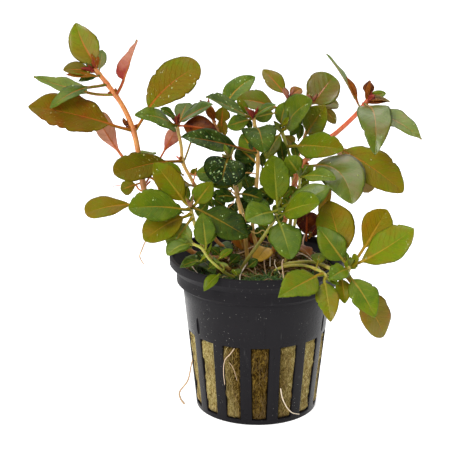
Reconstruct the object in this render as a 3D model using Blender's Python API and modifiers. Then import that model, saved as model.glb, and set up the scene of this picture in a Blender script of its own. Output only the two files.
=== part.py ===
"""Ludwigia repens, a red-stemmed water plant, grown above water in a net pot of rock wool.

Units in the tables are millimetres. The pot's axis is the Z axis, its base lies at z = 0,
and the side that the leaves droop over most is -Y.
"""

import math

import bmesh
import bpy
from mathutils import Matrix, Vector

MM = 0.001

# Pot
POT_STEPS = 30
POT_FLOOR = 1.2
POT_BASE_RADIUS = 19.4
POT_HEIGHT = 50.0
WALL = 1.0
SHOULDER_HEIGHT = 40.4
SHOULDER_RADIUS = 23.6
BAND_RADIUS = 25.5
LIP_RADIUS = 27.7
SLOT_COUNT = 15
SLOT_TURN = 1.6
SLOT_BOTTOM = 1.6
SLOT_TOP = 26.4
SLOT_WIDTH_BOTTOM = 4.6
SLOT_WIDTH_TOP = 5.8
DIMPLE_COUNT = 6
DIMPLE_TURN = 4.8
DIMPLE_LOW = 27.6
DIMPLE_HIGH = 33.0
DIMPLE_WIDTH = 1.0
DIMPLE_DEPTH = 0.5
DRAIN_COUNT = 6
DRAIN_RADIUS = 2.0
DRAIN_CIRCLE = 12.0

# Rock wool plug
WOOL_SEGMENTS = 20
WOOL_GAP = 0.4
WOOL_LEVELS = (POT_FLOOR + WOOL_GAP, 14.0, 28.0, 40.4, 43.4, 46.0)
WOOL_SAG = 0.45

# Leaves and stems
GAP = 0.3
LEAF_THICKNESS = 0.5
OLIVE_SHOOTS = ("leaf_left", "leaf_right", "leaf_back")
PETIOLE_WIDTH = 1.0
TIP_WIDTH = 0.5
BLADE_START = 0.14
FOLD = 0.22
BLADE = ((0.0, 0.0), (0.14, 0.06), (0.34, 0.74), (0.56, 1.0), (0.78, 0.78), (0.93, 0.36), (1.0, 0.0))
SMALL_BLADE = ((0.0, 0.0), (0.14, 0.1), (0.42, 0.95), (0.76, 0.8), (1.0, 0.0))

# stem: radius, then its points from the rock wool to the tip
STEMS = {
    "left": (0.8, ((-10, 4, 47.2), (-16, 3, 47.8), (-22, 2, 51), (-29, 0, 59.6), (-33.5, -2, 67.2),
                   (-35.2, -3, 72), (-36.7, -4, 83.9), (-38.1, -4, 90.7), (-41, -4, 97.8),
                   (-45.7, -4, 104.8), (-49.6, -4, 109.6))),
    "inner_left": (0.6, ((-7, 7, 47.2), (-13, 5, 53), (-17, 4, 61), (-18.4, 4, 68.3), (-20.8, 4, 73.4),
                         (-23.3, 4, 78.6), (-23.9, 4, 84.4), (-25.3, 4, 91.6))),
    "slim": (0.5, ((-2, 12, 47.2), (-4, 10, 56), (-5.8, 9, 66), (-9, 8, 82), (-12.7, 8, 88.6),
                   (-15.6, 8, 95.4))),
    "centre": (0.6, ((1, 4, 47.2), (-1.4, 3, 58), (-0.4, 2, 70.4), (0.1, 2, 80), (-0.6, 2, 87.9),
                     (-1.4, 2, 94))),
    "middle": (0.6, ((-3, -4, 47.2), (-4, -6, 58), (-6.2, -8, 69.8), (-8.2, -9, 79.4), (-9, -10, 84))),
    "front_left": (0.6, ((-9, -7, 47.2), (-13, -10, 50), (-16.3, -12, 55), (-18.8, -15, 62.3),
                         (-20.4, -16.5, 69), (-20.8, -17, 71))),
    "low_left": (0.5, ((-4, -13, 47.2), (-8, -18, 48.4), (-12, -22, 52.4), (-15.2, -25, 56.6),
                       (-17, -27, 60), (-20.4, -27.4, 61.8))),
    "front": (0.6, ((-5, -8, 47.2), (-3, -9.6, 51.5), (1, -12, 58.2), (4, -14.6, 64), (6.2, -16.4, 69.4))),
    "low_right": (0.6, ((8, -4, 47.2), (12, -8, 49.6), (17, -14, 51.6), (22, -20, 51.4),
                        (25.4, -23.6, 51.2), (26.5, -24.4, 52.4), (26.8, -24.6, 55))),
    "rim": (0.5, ((5, -10, 47.2), (9, -14, 50.4), (14, -20, 52.4), (18, -25, 52.4), (20.2, -28, 51.2))),
    "right": (0.8, ((5, 8, 47.2), (8.6, 6, 58), (10.5, 5, 66.4), (13.2, 5, 75.6), (18.9, 6, 83.7),
                    (24.2, 5, 87.6), (30.4, 3.4, 94), (34.3, 2.6, 99.2))),
    "pale": (0.6, ((10, 11, 47.2), (11.2, 11, 60), (11.7, 12, 69.5), (11.3, 12, 76), (9.8, 12, 81),
                   (7.6, 12, 87.8))),
    "back": (0.5, ((12.5, 13, 76.6), (14.4, 15.5, 81), (16, 17, 86), (16.9, 18, 91), (17.2, 18, 95.6))),
    "crown": (0.5, ((9.2, 14, 86.6), (9.8, 15, 92), (9.9, 16, 97.6))),
    "inner_right": (0.5, ((9, 0, 47.2), (11.2, -1, 57), (12.4, -3, 68.5), (13, -5, 77.4))),
}

# leaf: stem, distance below the stem's tip, leaf tip, width, way that its top faces,
# arch as a part of its length, and stalk as a part of its length
LEAVES = {
    "leaf_left_1": ("left", 0.6, (-54.7, -2, 122.8), 9, (0, -1, 0.3), 0.03, 0.1),
    "leaf_left_2": ("left", 6.3, (-61.8, -13, 98.9), 6.4, (-0.2, -0.5, 1), 0.12, 0.25),
    "leaf_left_3": ("left", 10.2, (-68, -2, 106.6), 8.5, (0, -0.3, 1), -0.03, 0.3),
    "leaf_left_4": ("left", 10.6, (-36.2, -6, 118.3), 4.8, (-1, 1, 0.2), 0, 0.26),
    "leaf_left_5": ("left", 22.4, (-68.5, -12, 99.3), 13, (0.1, -1, 0.9), 0.06, 0.22),
    "leaf_left_6": ("left", 22.8, (-17.8, 6, 108.8), 12.6, (-0.3, -1, 0.2), -0.03, 0.27),
    "leaf_left_7": ("left", 38, (-50.6, 6, 94.1), 7.2, (0.2, 1, 0.3), -0.05, 0.42),
    "leaf_left_8": ("left", 47, (-52.6, -12, 66.5), 8.5, (-0.1, -0.8, 1), 0.1, 0.3),
    "leaf_inner_left_1": ("inner_left", 1.2, (-37, -12, 96.7), 9, (0, -0.6, 1), 0.08, 0.08),
    "leaf_inner_left_2": ("inner_left", 12.6, (-43.2, -16, 79.6), 9.5, (0, -1, 0.7), 0.08, 0.24),
    "leaf_slim_1": ("slim", 7.4, (-0.4, 20, 103), 7.6, (-0.2, -1, 0.8), 0.04, 0.36),
    "leaf_centre_1": ("centre", 0.8, (-15.9, -6, 101.2), 10.6, (0, -0.42, 1), 0.02, 0.12),
    "leaf_centre_2": ("centre", 4.2, (1.5, -12, 85.1), 10.5, (0.1, -1, 0.6), 0.22, 0.08),
    "leaf_centre_4": ("centre", 11.8, (-23.4, -9, 89.6), 8.5, (0, -0.6, 1), 0.07, 0.26),
    "leaf_middle_1": ("middle", 0.6, (-11.3, -18, 76.7), 13.6, (0, -1, 0.6), 0.3, 0.06),
    "leaf_front_left_1": ("front_left", 0.8, (-31.3, -15, 83), 8.2, (0.3, -1, 0.3), 0.04, 0.12),
    "leaf_front_left_2": ("front_left", 2, (-38.2, -28, 72.4), 11, (0, -1, 0.8), 0.08, 0.14),
    "leaf_front_left_3": ("front_left", 1.9, (-13.9, -12, 76.3), 6.8, (-0.3, -1, 0.5), 0.04, 0.14),
    "leaf_front_left_4": ("front_left", 1.4, (-3.4, -26, 63), 10, (0, -1, 0.8), 0.06, 0.2),
    "leaf_front_left_5": ("front_left", 3.8, (-34.1, -24, 61.5), 10, (-0.2, -1, 0.9), 0.12, 0.14),
    "leaf_front_left_6": ("front_left", 5.2, (-26.5, -22, 57.8), 8, (0, -1, 0.6), 0.1, 0.16),
    "leaf_low_left_1": ("low_left", 5.2, (-16.8, -29, 71.4), 6.4, (0.1, -1, 0.3), 0.06, 0.12),
    "leaf_front_1": ("front", 0.6, (4.5, -9, 83.9), 9.4, (0, -1, 0.3), 0.02, 0.12),
    "leaf_front_2": ("front", 1.4, (-4, -26, 68.2), 9, (0, -1, 0.9), 0.08, 0.14),
    "leaf_front_3": ("front", 1.8, (17.4, -26, 73.6), 9.4, (-0.1, -0.9, 0.9), 0.06, 0.14),
    "leaf_front_4": ("front", 3.2, (9, -31, 57.8), 9.6, (0.1, -1, 0.5), 0.12, 0.16),
    "leaf_low_right_1": ("low_right", 1, (17.4, -19, 64.6), 8.2, (-0.1, -1, 0.4), 0.04, 0.12),
    "leaf_low_right_2": ("low_right", 3, (21.1, -11, 70.3), 11.5, (0, -1, 0.3), 0.04, 0.2),
    "leaf_low_right_3": ("low_right", 2, (38.3, -17, 69.1), 9.2, (0.1, -1, 0.5), 0.04, 0.34),
    "leaf_low_right_4": ("low_right", 0.8, (44.4, -31, 67.2), 10.2, (-0.2, -1, 0.6), 0.04, 0.14),
    "leaf_low_right_5": ("low_right", 3.6, (33.8, -33, 40.6), 8.4, (0.3, -1, 0.5), 0.1, 0.14),
    "leaf_low_right_6": ("low_right", 4.6, (38.4, -20, 29.9), 10.5, (0.5, -1, 0.3), 0.1, 0.24),
    "leaf_rim_1": ("rim", 2.4, (4.8, -43, 50.4), 10, (0, -1, 0.9), 0.02, 0.12),
    "leaf_rim_2": ("rim", 1, (20.3, -39, 41.4), 6.8, (0, -1, 0.5), 0.12, 0.14),
    "leaf_right_1": ("right", 2.6, (34, -18, 85.9), 10.4, (0, -0.7, 1), 0.24, 0.14),
    "leaf_right_2": ("right", 4, (48.9, -10, 88.9), 9, (0, -0.3, 1), 0.16, 0.14),
    "leaf_right_3": ("right", 30, (28.1, -14, 69.9), 14, (0.2, -1, 0.8), 0.16, 0.14),
    "leaf_right_4": ("right", 19.6, (44.5, -6, 71.5), 12.5, (0.2, -1, 0.8), 0.06, 0.2),
    "leaf_right_5": ("right", 20, (36.4, 15, 66), 10, (-0.3, 0.3, 1), 0.16, 0.22),
    "leaf_back_1": ("back", 0.6, (24.7, 20, 103.2), 11.6, (-0.2, -1, 0.5), 0.04, 0.04),
    "leaf_pale_1": ("pale", 6.2, (26, -6, 85), 9.4, (0, -1, 0.6), 0.06, 0.2),
    "leaf_pale_2": ("pale", 0.8, (16.7, 2, 98.6), 11, (-0.3, -1, 0.8), 0.05, 0.08),
    "leaf_crown_1": ("crown", 5.2, (-6.4, 10, 97.5), 9, (0, -0.8, 1), 0.08, 0.24),
}

# Midribs that bend sideways, as a part of the leaf's length; below 0 it bends to the leaf's left,
# seen from above with the tip ahead.
BENDS = {
    "leaf_left_1": -0.06,
    "leaf_left_4": 0.1,
    "leaf_left_6": -0.11,
    "leaf_slim_1": -0.22,
    "leaf_right_1": -0.04,
    "leaf_right_3": -0.16,
    "leaf_right_4": -0.02,
    "leaf_pale_2": -0.06,
}

# Small leaves are one piece with the stem that they grow on; their values are as above.
SMALL_LEAVES = {
    "left": ((1.6, (-58.1, -9, 109.7), 6, (0, -0.8, 1), 0.04, 0.12),
             (2.6, (-48, 8, 113.3), 3.6, (0.2, -1, 0.2), 0.02, 0.14),
             (39, (-42.6, 0, 70.6), 5, (0, -1, 0.5), 0.06, 0.24),
             (33, (-33, 9, 80.6), 4.6, (0, -0.6, 1), 0.08, 0.2),
             (40.5, (-25.6, 10, 87.9), 4.8, (0.3, 1, 0.2), 0, 0.6)),
    "inner_left": ((1, (-13.7, -1, 98), 7, (0, -0.5, 1), 0.04, 0.1),
                   (1.8, (-12.6, 1, 89.4), 7.5, (0.1, -1, 0.5), 0.06, 0.14),
                   (2.6, (-22, 18, 95), 6, (0, -0.5, 1), 0.08, 0.2),
                   (13.4, (-19, 12, 89.2), 4, (0, -0.6, 0.6), 0.02, 0.6),
                   (22, (-28.6, -9, 73), 7, (0, -0.6, 1), 0.12, 0.2)),
    "slim": ((0.8, (-21.6, 9, 94.1), 5, (0, -0.8, 1), 0.06, 0.14),
             (9.2, (-10.8, 6, 96), 5, (0, -1, 0.2), 0, 0.4),
             (34, (-13, 27, 72), 8, (0, 0.5, 1), 0.14, 0.2)),
    "centre": ((0.8, (5.4, -2, 98), 4, (0, -0.6, 1), 0.08, 0.14),
               (13.5, (-4.8, 8, 87), 6.5, (0, -1, 0.3), 0.04, 0.14),
               (15.5, (-6.3, 6, 83.1), 8, (0, -1, 0.5), 0.08, 0.12),
               (1.6, (-9.5, 4, 90.1), 5.5, (0, -1, 0.6), 0.04, 0.14)),
    "middle": ((8, (-18.9, -3, 77.2), 8.5, (0, -0.9, 1), 0.04, 0.1),
               (13, (1.2, -9, 70), 6, (0, -1, 0.8), 0.14, 0.14),
               (14, (-13.8, -14, 72), 5, (0, -1, 0.8), 0.12, 0.14),
               (9, (-3.9, -14, 78.2), 6, (0, -1, 0.8), 0.1, 0.14)),
    "front_left": (),
    "low_left": ((0.6, (-26.8, -34, 59.9), 7, (0, -0.6, 1), 0.12, 0.12),
                 (1, (-25.3, -30, 61.4), 5, (0, -0.4, 1), 0.08, 0.12),
                 (17, (-12.8, -32, 57.4), 5, (0, -0.8, 1), 0.08, 0.3)),
    "front": ((5, (21.2, -16, 75.8), 8.6, (0, -0.9, 0.9), 0.04, 0.2),
              (5.4, (-2, -5, 70), 5, (0, -0.8, 1), 0.06, 0.14)),
    "low_right": ((0.2, (29.1, -28, 56.8), 4.6, (0, -1, 0.8), 0.04, 0.1),
                  (2.2, (19.9, -34, 52.7), 6, (0, -1, 0.9), 0.1, 0.12),
                  (6, (25.2, -29, 43.5), 4.6, (0, -1, 0.5), 0.12, 0.2)),
    "rim": ((6, (18.4, -17, 55.4), 4.6, (0, -0.7, 1), 0.1, 0.2),),
    "right": ((0.6, (40, -2, 98.8), 7, (0, 0.6, 1), 0.08, 0.12),
              (0.8, (34.4, 6, 104.4), 3.6, (0, -1, 0.2), 0.02, 0.12),
              (4.6, (21, 8, 112.2), 5.4, (0.9, 0.1, 0.5), 0.04, 0.14)),
    "pale": ((1.5, (2.6, 3, 79.8), 5.5, (-0.3, -1, 0.4), 0.06, 0.12),
             (2.5, (12.1, 18, 80.8), 4, (0, -1, 0.3), 0.04, 0.12),
             (16, (18, 30, 73), 9, (0, 0.5, 1), 0.14, 0.2)),
    "back": ((11.5, (21.4, 8, 95.9), 9, (-0.2, -1, 0.4), 0.04, 0.1),
             (1.4, (27.1, 26, 93), 6, (0, -0.9, 0.8), 0.06, 0.14)),
    "crown": ((0.6, (1.9, 21, 105.2), 6.4, (0.2, -0.9, 0.8), 0.04, 0.12),
              (0.6, (14.4, 19, 99.4), 4.4, (0, -0.6, 1), 0.06, 0.14)),
    "inner_right": ((1, (8.5, -5, 82.6), 7, (0, -1, 0.5), 0.06, 0.12),
                    (2, (23, -15, 77.8), 6.4, (0, -0.8, 1), 0.08, 0.14)),
}

COLOURS = {
    "pot": ((0.022, 0.022, 0.024, 1), 0.45),
    "wool": ((0.25, 0.17, 0.05, 1), 0.95),
    "stem": ((0.42, 0.14, 0.05, 1), 0.5),
    "olive": ((0.16, 0.13, 0.03, 1), 0.35),
    "green": ((0.07, 0.15, 0.03, 1), 0.35),
}


def empty_scene():
    """Remove what the start-up file holds."""
    for obj in list(bpy.data.objects):
        bpy.data.objects.remove(obj, do_unlink=True)


def make_collection(name, shown):
    """A collection for the parts, or one for the hidden shapes that cut or join them."""
    collection = bpy.data.collections.new(name)
    bpy.context.scene.collection.children.link(collection)
    collection.hide_render = not shown
    return collection


def make_material(name, kind):
    """A Principled material of its own for one part."""
    colour, roughness = COLOURS[kind]
    material = bpy.data.materials.new(name)
    material.use_nodes = True
    shader = material.node_tree.nodes["Principled BSDF"]
    shader.inputs["Base Color"].default_value = colour
    shader.inputs["Roughness"].default_value = roughness
    shader.inputs["Metallic"].default_value = 0.0
    return material


def add_object(name, mesh, collection, kind=None):
    """Link a mesh as a named object; a part also gets its material."""
    obj = bpy.data.objects.new(name, mesh)
    collection.objects.link(obj)
    if kind:
        mesh.materials.append(make_material(name, kind))
    else:
        obj.hide_render = True
        obj.display_type = "WIRE"
    return obj


def mesh_from(bm, name):
    """Turn a bmesh into mesh data and free it."""
    mesh = bpy.data.meshes.new(name)
    bm.to_mesh(mesh)
    bm.free()
    return mesh


def add_boolean(obj, other, operation):
    """Cut or join with another closed mesh."""
    modifier = obj.modifiers.new(operation.lower(), "BOOLEAN")
    modifier.operation = operation
    modifier.solver = "EXACT"
    modifier.object = other


def wall_radius(z):
    """Outer radius of the pot's tapered wall."""
    return POT_BASE_RADIUS + (SHOULDER_RADIUS - POT_BASE_RADIUS) * z / SHOULDER_HEIGHT


def pot_profile():
    """Inside from the floor up to the lip, then down the outside to the base."""
    inner_band = BAND_RADIUS - WALL
    inner_lip = LIP_RADIUS - WALL
    return (
        (0, POT_FLOOR),
        (wall_radius(POT_FLOOR) - WALL, POT_FLOOR),
        (SHOULDER_RADIUS - WALL, SHOULDER_HEIGHT + 0.6),
        (inner_band, 43.0),
        (inner_band, 45.6),
        (inner_lip, 48.0),
        (inner_lip, POT_HEIGHT),
        (LIP_RADIUS, POT_HEIGHT),
        (LIP_RADIUS, 47.6),
        (BAND_RADIUS, 45.2),
        (BAND_RADIUS, 41.8),
        (SHOULDER_RADIUS, SHOULDER_HEIGHT),
        (POT_BASE_RADIUS, 0.4),
        (POT_BASE_RADIUS - 0.4, 0),
        (0, 0),
    )


def slot_cutters(bm):
    """Fifteen tall slots that narrow towards the base."""
    middle = (POT_BASE_RADIUS + SHOULDER_RADIUS) / 2
    for index in range(SLOT_COUNT):
        turn = math.radians(SLOT_TURN - 90 + index * 360 / SLOT_COUNT)
        cube = bmesh.ops.create_cube(bm, size=1.0)
        for vert in cube["verts"]:
            high = vert.co.z > 0
            width = SLOT_WIDTH_TOP if high else SLOT_WIDTH_BOTTOM
            vert.co.x = (middle + vert.co.x * 10 * WALL) * MM
            vert.co.y *= width * MM
            vert.co.z = (SLOT_TOP if high else SLOT_BOTTOM) * MM
        bmesh.ops.rotate(bm, verts=cube["verts"], matrix=Matrix.Rotation(turn, 3, "Z"))


def dimple_cutters(bm):
    """Six shallow upright dimples above the slots."""
    for index in range(DIMPLE_COUNT):
        turn = math.radians(DIMPLE_TURN - 90 + index * 360 / DIMPLE_COUNT)
        cube = bmesh.ops.create_cube(bm, size=1.0)
        for vert in cube["verts"]:
            z = DIMPLE_HIGH if vert.co.z > 0 else DIMPLE_LOW
            inner = wall_radius(z) - DIMPLE_DEPTH
            vert.co.x = (inner if vert.co.x < 0 else inner + 2 * WALL) * MM
            vert.co.y *= DIMPLE_WIDTH * MM
            vert.co.z = z * MM
        bmesh.ops.rotate(bm, verts=cube["verts"], matrix=Matrix.Rotation(turn, 3, "Z"))


def drain_cutters(bm):
    """Round holes through the floor, on a circle about its middle."""
    for index in range(DRAIN_COUNT):
        turn = index * 2 * math.pi / DRAIN_COUNT
        spot = Vector((math.cos(turn), math.sin(turn), 0)) * DRAIN_CIRCLE * MM
        place = Matrix.Translation(spot)
        bmesh.ops.create_cone(bm, cap_ends=True, segments=8, radius1=DRAIN_RADIUS * MM,
                              radius2=DRAIN_RADIUS * MM, depth=4 * POT_FLOOR * MM, matrix=place)


def make_pot(parts, cutters):
    """The net pot: a turned wall with a floor, slotted all round."""
    bm = bmesh.new()
    verts = [bm.verts.new((r * MM, 0, z * MM)) for r, z in pot_profile()]
    for start, end in zip(verts, verts[1:]):
        bm.edges.new((start, end))
    pot = add_object("pot", mesh_from(bm, "pot"), parts, "pot")
    screw = pot.modifiers.new("turn", "SCREW")
    screw.axis = "Z"
    screw.steps = screw.render_steps = POT_STEPS
    screw.use_merge_vertices = True
    screw.merge_threshold = 0.00001
    for name, build in (("slots", slot_cutters), ("dimples", dimple_cutters), ("drains", drain_cutters)):
        bm = bmesh.new()
        build(bm)
        add_boolean(pot, add_object(name, mesh_from(bm, name), cutters), "DIFFERENCE")


def make_rock_wool(parts):
    """The plug of rock wool that fills the pot, uneven where the slots show it."""
    bm = bmesh.new()
    ring = bmesh.ops.create_circle(bm, cap_ends=True, segments=WOOL_SEGMENTS, radius=1.0)["verts"]
    face = ring[0].link_faces[0]
    for level, z in enumerate(WOOL_LEVELS):
        if level:
            face = bmesh.ops.extrude_discrete_faces(bm, faces=[face])["faces"][0]
        if z <= SHOULDER_HEIGHT:
            room = wall_radius(z) - WALL - WOOL_GAP
        else:
            room = BAND_RADIUS - WALL - 2 * WOOL_GAP
        ends = z in (WOOL_LEVELS[0], WOOL_LEVELS[-1])
        for vert in face.verts:
            turn = math.atan2(vert.co.y, vert.co.x)
            sag = 0 if ends else WOOL_SAG * (1.6 + math.sin(5 * turn + 2 * level))
            vert.co.x = math.cos(turn) * (room - sag) * MM
            vert.co.y = math.sin(turn) * (room - sag) * MM
            vert.co.z = z * MM
    bmesh.ops.holes_fill(bm, edges=[edge for edge in bm.edges if edge.is_boundary])
    bmesh.ops.recalc_face_normals(bm, faces=bm.faces)
    add_object("rock_wool", mesh_from(bm, "rock_wool"), parts, "wool")


def stem_point(stem, down):
    """The point and direction of a stem at a distance below its tip."""
    points = [Vector(point) for point in reversed(STEMS[stem][1])]
    for upper, lower in zip(points, points[1:]):
        span = (upper - lower).length
        if down <= span or lower == points[-1]:
            return upper.lerp(lower, down / span), (upper - lower).normalized()
        down -= span


def blade_width(along, width, stations):
    """Width of the blade at a station along the leaf."""
    narrow = PETIOLE_WIDTH if along < 0.5 else TIP_WIDTH
    return max(narrow, width * dict(stations)[along])


def leaf_mesh(name, stem, down, tip, width, facing, arch, stalk, stations, sunk):
    """A leaf as a grid that follows its arched midrib, folded up a little on both sides."""
    radius = STEMS[stem][0]
    node, axis = stem_point(stem, down)
    tip = Vector(tip)
    outward = tip - node
    outward -= outward.dot(axis) * axis
    if sunk:
        base = node
    else:
        base = node + outward.normalized() * (radius + GAP + LEAF_THICKNESS / 2)
    chord = tip - base
    length = chord.length
    chord.normalize()
    up = Vector(facing)
    up = (up - up.dot(chord) * chord).normalized()
    side = chord.cross(up)
    bm = bmesh.new()
    count = len(stations) - 1
    bmesh.ops.create_grid(bm, x_segments=count, y_segments=2, size=0.5)
    for vert in bm.verts:
        along = stations[round((vert.co.x + 0.5) * count)][0]
        across = vert.co.y * 2
        half = blade_width(along, width, stations) / 2
        if along >= BLADE_START:
            place = stalk + (along - BLADE_START) * (1 - stalk) / (1 - BLADE_START)
        else:
            place = along * stalk / BLADE_START
        bow = 4 * length * place * (1 - place)
        aside = BENDS.get(name, 0) * bow + half * across
        vert.co = (base + chord * length * place + side * aside
                   + up * (arch * bow + FOLD * half * abs(across))) * MM
    return mesh_from(bm, name)


def add_thickness(obj):
    """Give a leaf its thickness, half on each side."""
    solidify = obj.modifiers.new("thickness", "SOLIDIFY")
    solidify.thickness = LEAF_THICKNESS * MM
    solidify.offset = 0.0


def make_leaves(parts):
    """The leaves that are pieces of their own."""
    for name, row in LEAVES.items():
        kind = "olive" if name.startswith(OLIVE_SHOOTS) else "green"
        leaf = add_object(name, leaf_mesh(name, *row, BLADE, False), parts, kind)
        add_thickness(leaf)


def stem_tube(name, radius, points, collection):
    """A stem as a round tube with filled ends."""
    curve = bpy.data.curves.new(name, "CURVE")
    curve.dimensions = "3D"
    curve.bevel_depth = radius * MM
    curve.bevel_resolution = 2
    curve.use_fill_caps = True
    spline = curve.splines.new("POLY")
    spline.points.add(len(points) - 1)
    for place, point in zip(spline.points, points):
        place.co = (*(Vector(point) * MM), 1)
    tube = bpy.data.objects.new(name, curve)
    collection.objects.link(tube)
    return tube


def make_stems(parts, joined):
    """The stems, each with its small leaves joined on."""
    for key, (radius, points) in STEMS.items():
        name = "stem_" + key
        tube = stem_tube(name + "_tube", radius, points, joined)
        view = bpy.context.evaluated_depsgraph_get()
        mesh = bpy.data.meshes.new_from_object(tube.evaluated_get(view))
        bpy.data.objects.remove(tube, do_unlink=True)
        bm = bmesh.new()
        bm.from_mesh(mesh)
        bmesh.ops.remove_doubles(bm, verts=bm.verts, dist=0.00001)
        bm.to_mesh(mesh)
        bm.free()
        stem = add_object(name, mesh, parts, "stem")
        for index, row in enumerate(SMALL_LEAVES.get(key, ()), 1):
            small = f"small_leaf_{key}_{index}"
            leaf = add_object(small, leaf_mesh(small, key, *row, SMALL_BLADE, True), joined)
            add_thickness(leaf)
            add_boolean(stem, leaf, "UNION")


def main():
    empty_scene()
    parts = make_collection("ludwigia_repens", True)
    hidden = make_collection("cutters", False)
    make_pot(parts, hidden)
    make_rock_wool(parts)
    make_stems(parts, hidden)
    make_leaves(parts)


main()
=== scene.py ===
"""Ludwigia repens in a net pot: the finish of every surface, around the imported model.

The tables are in millimetres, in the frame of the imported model: the pot's axis is the Z axis, its
base lies at z = 0, and the camera looks from -Y.
"""

import math
import random
from collections import namedtuple

import bmesh
import bpy
from mathutils import Matrix, Vector, noise


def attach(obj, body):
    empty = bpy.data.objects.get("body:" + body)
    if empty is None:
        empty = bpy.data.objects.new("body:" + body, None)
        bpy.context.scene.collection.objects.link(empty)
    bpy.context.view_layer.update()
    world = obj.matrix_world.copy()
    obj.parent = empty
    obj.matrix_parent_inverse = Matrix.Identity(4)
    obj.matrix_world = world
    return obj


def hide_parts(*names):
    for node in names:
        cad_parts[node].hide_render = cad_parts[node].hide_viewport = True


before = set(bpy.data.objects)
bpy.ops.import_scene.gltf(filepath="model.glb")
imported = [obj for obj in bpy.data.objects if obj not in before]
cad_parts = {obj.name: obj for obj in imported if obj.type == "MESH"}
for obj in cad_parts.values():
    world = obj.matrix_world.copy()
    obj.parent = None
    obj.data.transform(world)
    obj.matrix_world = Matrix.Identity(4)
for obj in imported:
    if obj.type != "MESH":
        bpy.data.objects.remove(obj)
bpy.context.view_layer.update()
MM = 0.001

# Pot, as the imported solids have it. A size gives half of each extent: depth, width and height.
POT_HEIGHT = 50.0
POT_BASE_RADIUS = 19.4
POT_FLOOR = 1.2
WALL = 1.0
SHOULDER_HEIGHT = 40.4
SHOULDER_RADIUS = 23.6
BAND_LOW = 41.8
BAND_HIGH = 45.2
BAND_RADIUS = 25.5
LIP_LOW = 47.6
LIP_RADIUS = 27.7
SLOT_COUNT = 15
SLOT_TURN = math.radians(1.6 - 90)
SLOT_BOTTOM = 1.6
SLOT_TOP = 26.4
SLOT_WIDTH_BOTTOM = 4.6
SLOT_WIDTH_TOP = 5.8
DIMPLE_COUNT = 6
DIMPLE_TURN = math.radians(4.8 - 90)
DIMPLE_MIDDLE = 30.3
DIMPLE_SIZE = (0.85, 0.75, 2.9)
DRAIN_COUNT = 6
DRAIN_RADIUS = 2.0
DRAIN_CIRCLE = 12.0

# Pot, as it is shown: its front dimple is only a faint dent, and specks of dirt splash its front
FRONT_DIMPLE_SIZE = (0.12, 0.22, 3.6)
EDGE_ROUNDING = 0.12
SPLASH_X = -11
SPLASH_Z = 33
SLOT_STRIPS = 6
SLOT_ROWS = 14
WALL_ROWS = 8

# Rock wool and what lies on it. The hollow is in the plug's side, at an angle in degrees.
WOOL_TOP = 46.9
WOOL_FOOT = 1.5
WOOL_RIM = 24.2
WOOL_SLACK = 0.35
WOOL_BULGE = 1.1
HOLLOW_TURN = 176
HOLLOW_DEPTH = 3.5
STRAND_REACH = 23.6
SLOT_FIBRES = 80
FOOT_FIBRES = 14
TOP_FIBRES = 500
CRUMBS = 380
HAIR_ROOTS = 34

# Leaves and stems. A packed leaf starts a gap away from its stem. A grid is the rows along a leaf and
# the steps round it.
GAP = 0.3
SOLID_HALF = 0.25
LEAD = 0.06
BLADE_THICKNESS = 0.3
VEIN_SPACING = 2.1
VEIN_SLANT = 0.7
VEIN_BEND = 0.07
VEIN_RELIEF = 0.022
GROOVE_DEPTH = 0.09
RIDGE_HEIGHT = 0.42
LARGE_GRID = (50, 36)
SMALL_GRID = (28, 24)
YOUNG_GRID = (24, 20)
BUD_GRID = (12, 12)
BUD_LEAVES = 5
GOLDEN_TURN = 2.4
STEM_SIDES = 16
STEM_SUNK = 4
BEAD_LEAST = 0.1
BEAD_SPREAD = 0.28

# Camera at the photograph's angle, tilted down by this many degrees
CAMERA_PLACE = (-10.15, -377.6, 166.5)
CAMERA_TILT = 15.83
CAMERA_LENS = 100.0

# A leaf's looks. tone runs from deep green (0) over olive (0.6) and orange brown (1) to maroon (1.3)
# and yellow (1.6), rib from yellow to red, under from green to pink. dew counts its water beads, and
# sheen is how waxy its top is. rise is how fast the blade widens at its stalk and fall how fast it
# narrows to its tip: 0.5 is round, 1 is straight. wave is the height of its edge's waves in
# millimetres, and fold how far its halves stand up. gloom darkens the whole leaf towards black:
# it is painted shade, for leaves that lie in the shadow of others. bend is how far its midrib bows
# sideways, as a part of its length: below 0 to its left, seen from above, tip ahead.
Look = namedtuple("Look", "tone rib under dew sheen rise fall wave fold gloom bend",
                  defaults=(0.4, 0.3, 0.15, 3, 0.2, 0.8, 0.85, 0.2, 0.24, 0.15, 0.0))

# A stem: radius, tone of its bark at the rock wool and at its tip (0 yellow green, 1 orange red),
# looks of its young leaves, and its points from the rock wool to the tip.
Stem = namedtuple("Stem", "radius low_tone high_tone bud points")

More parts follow.
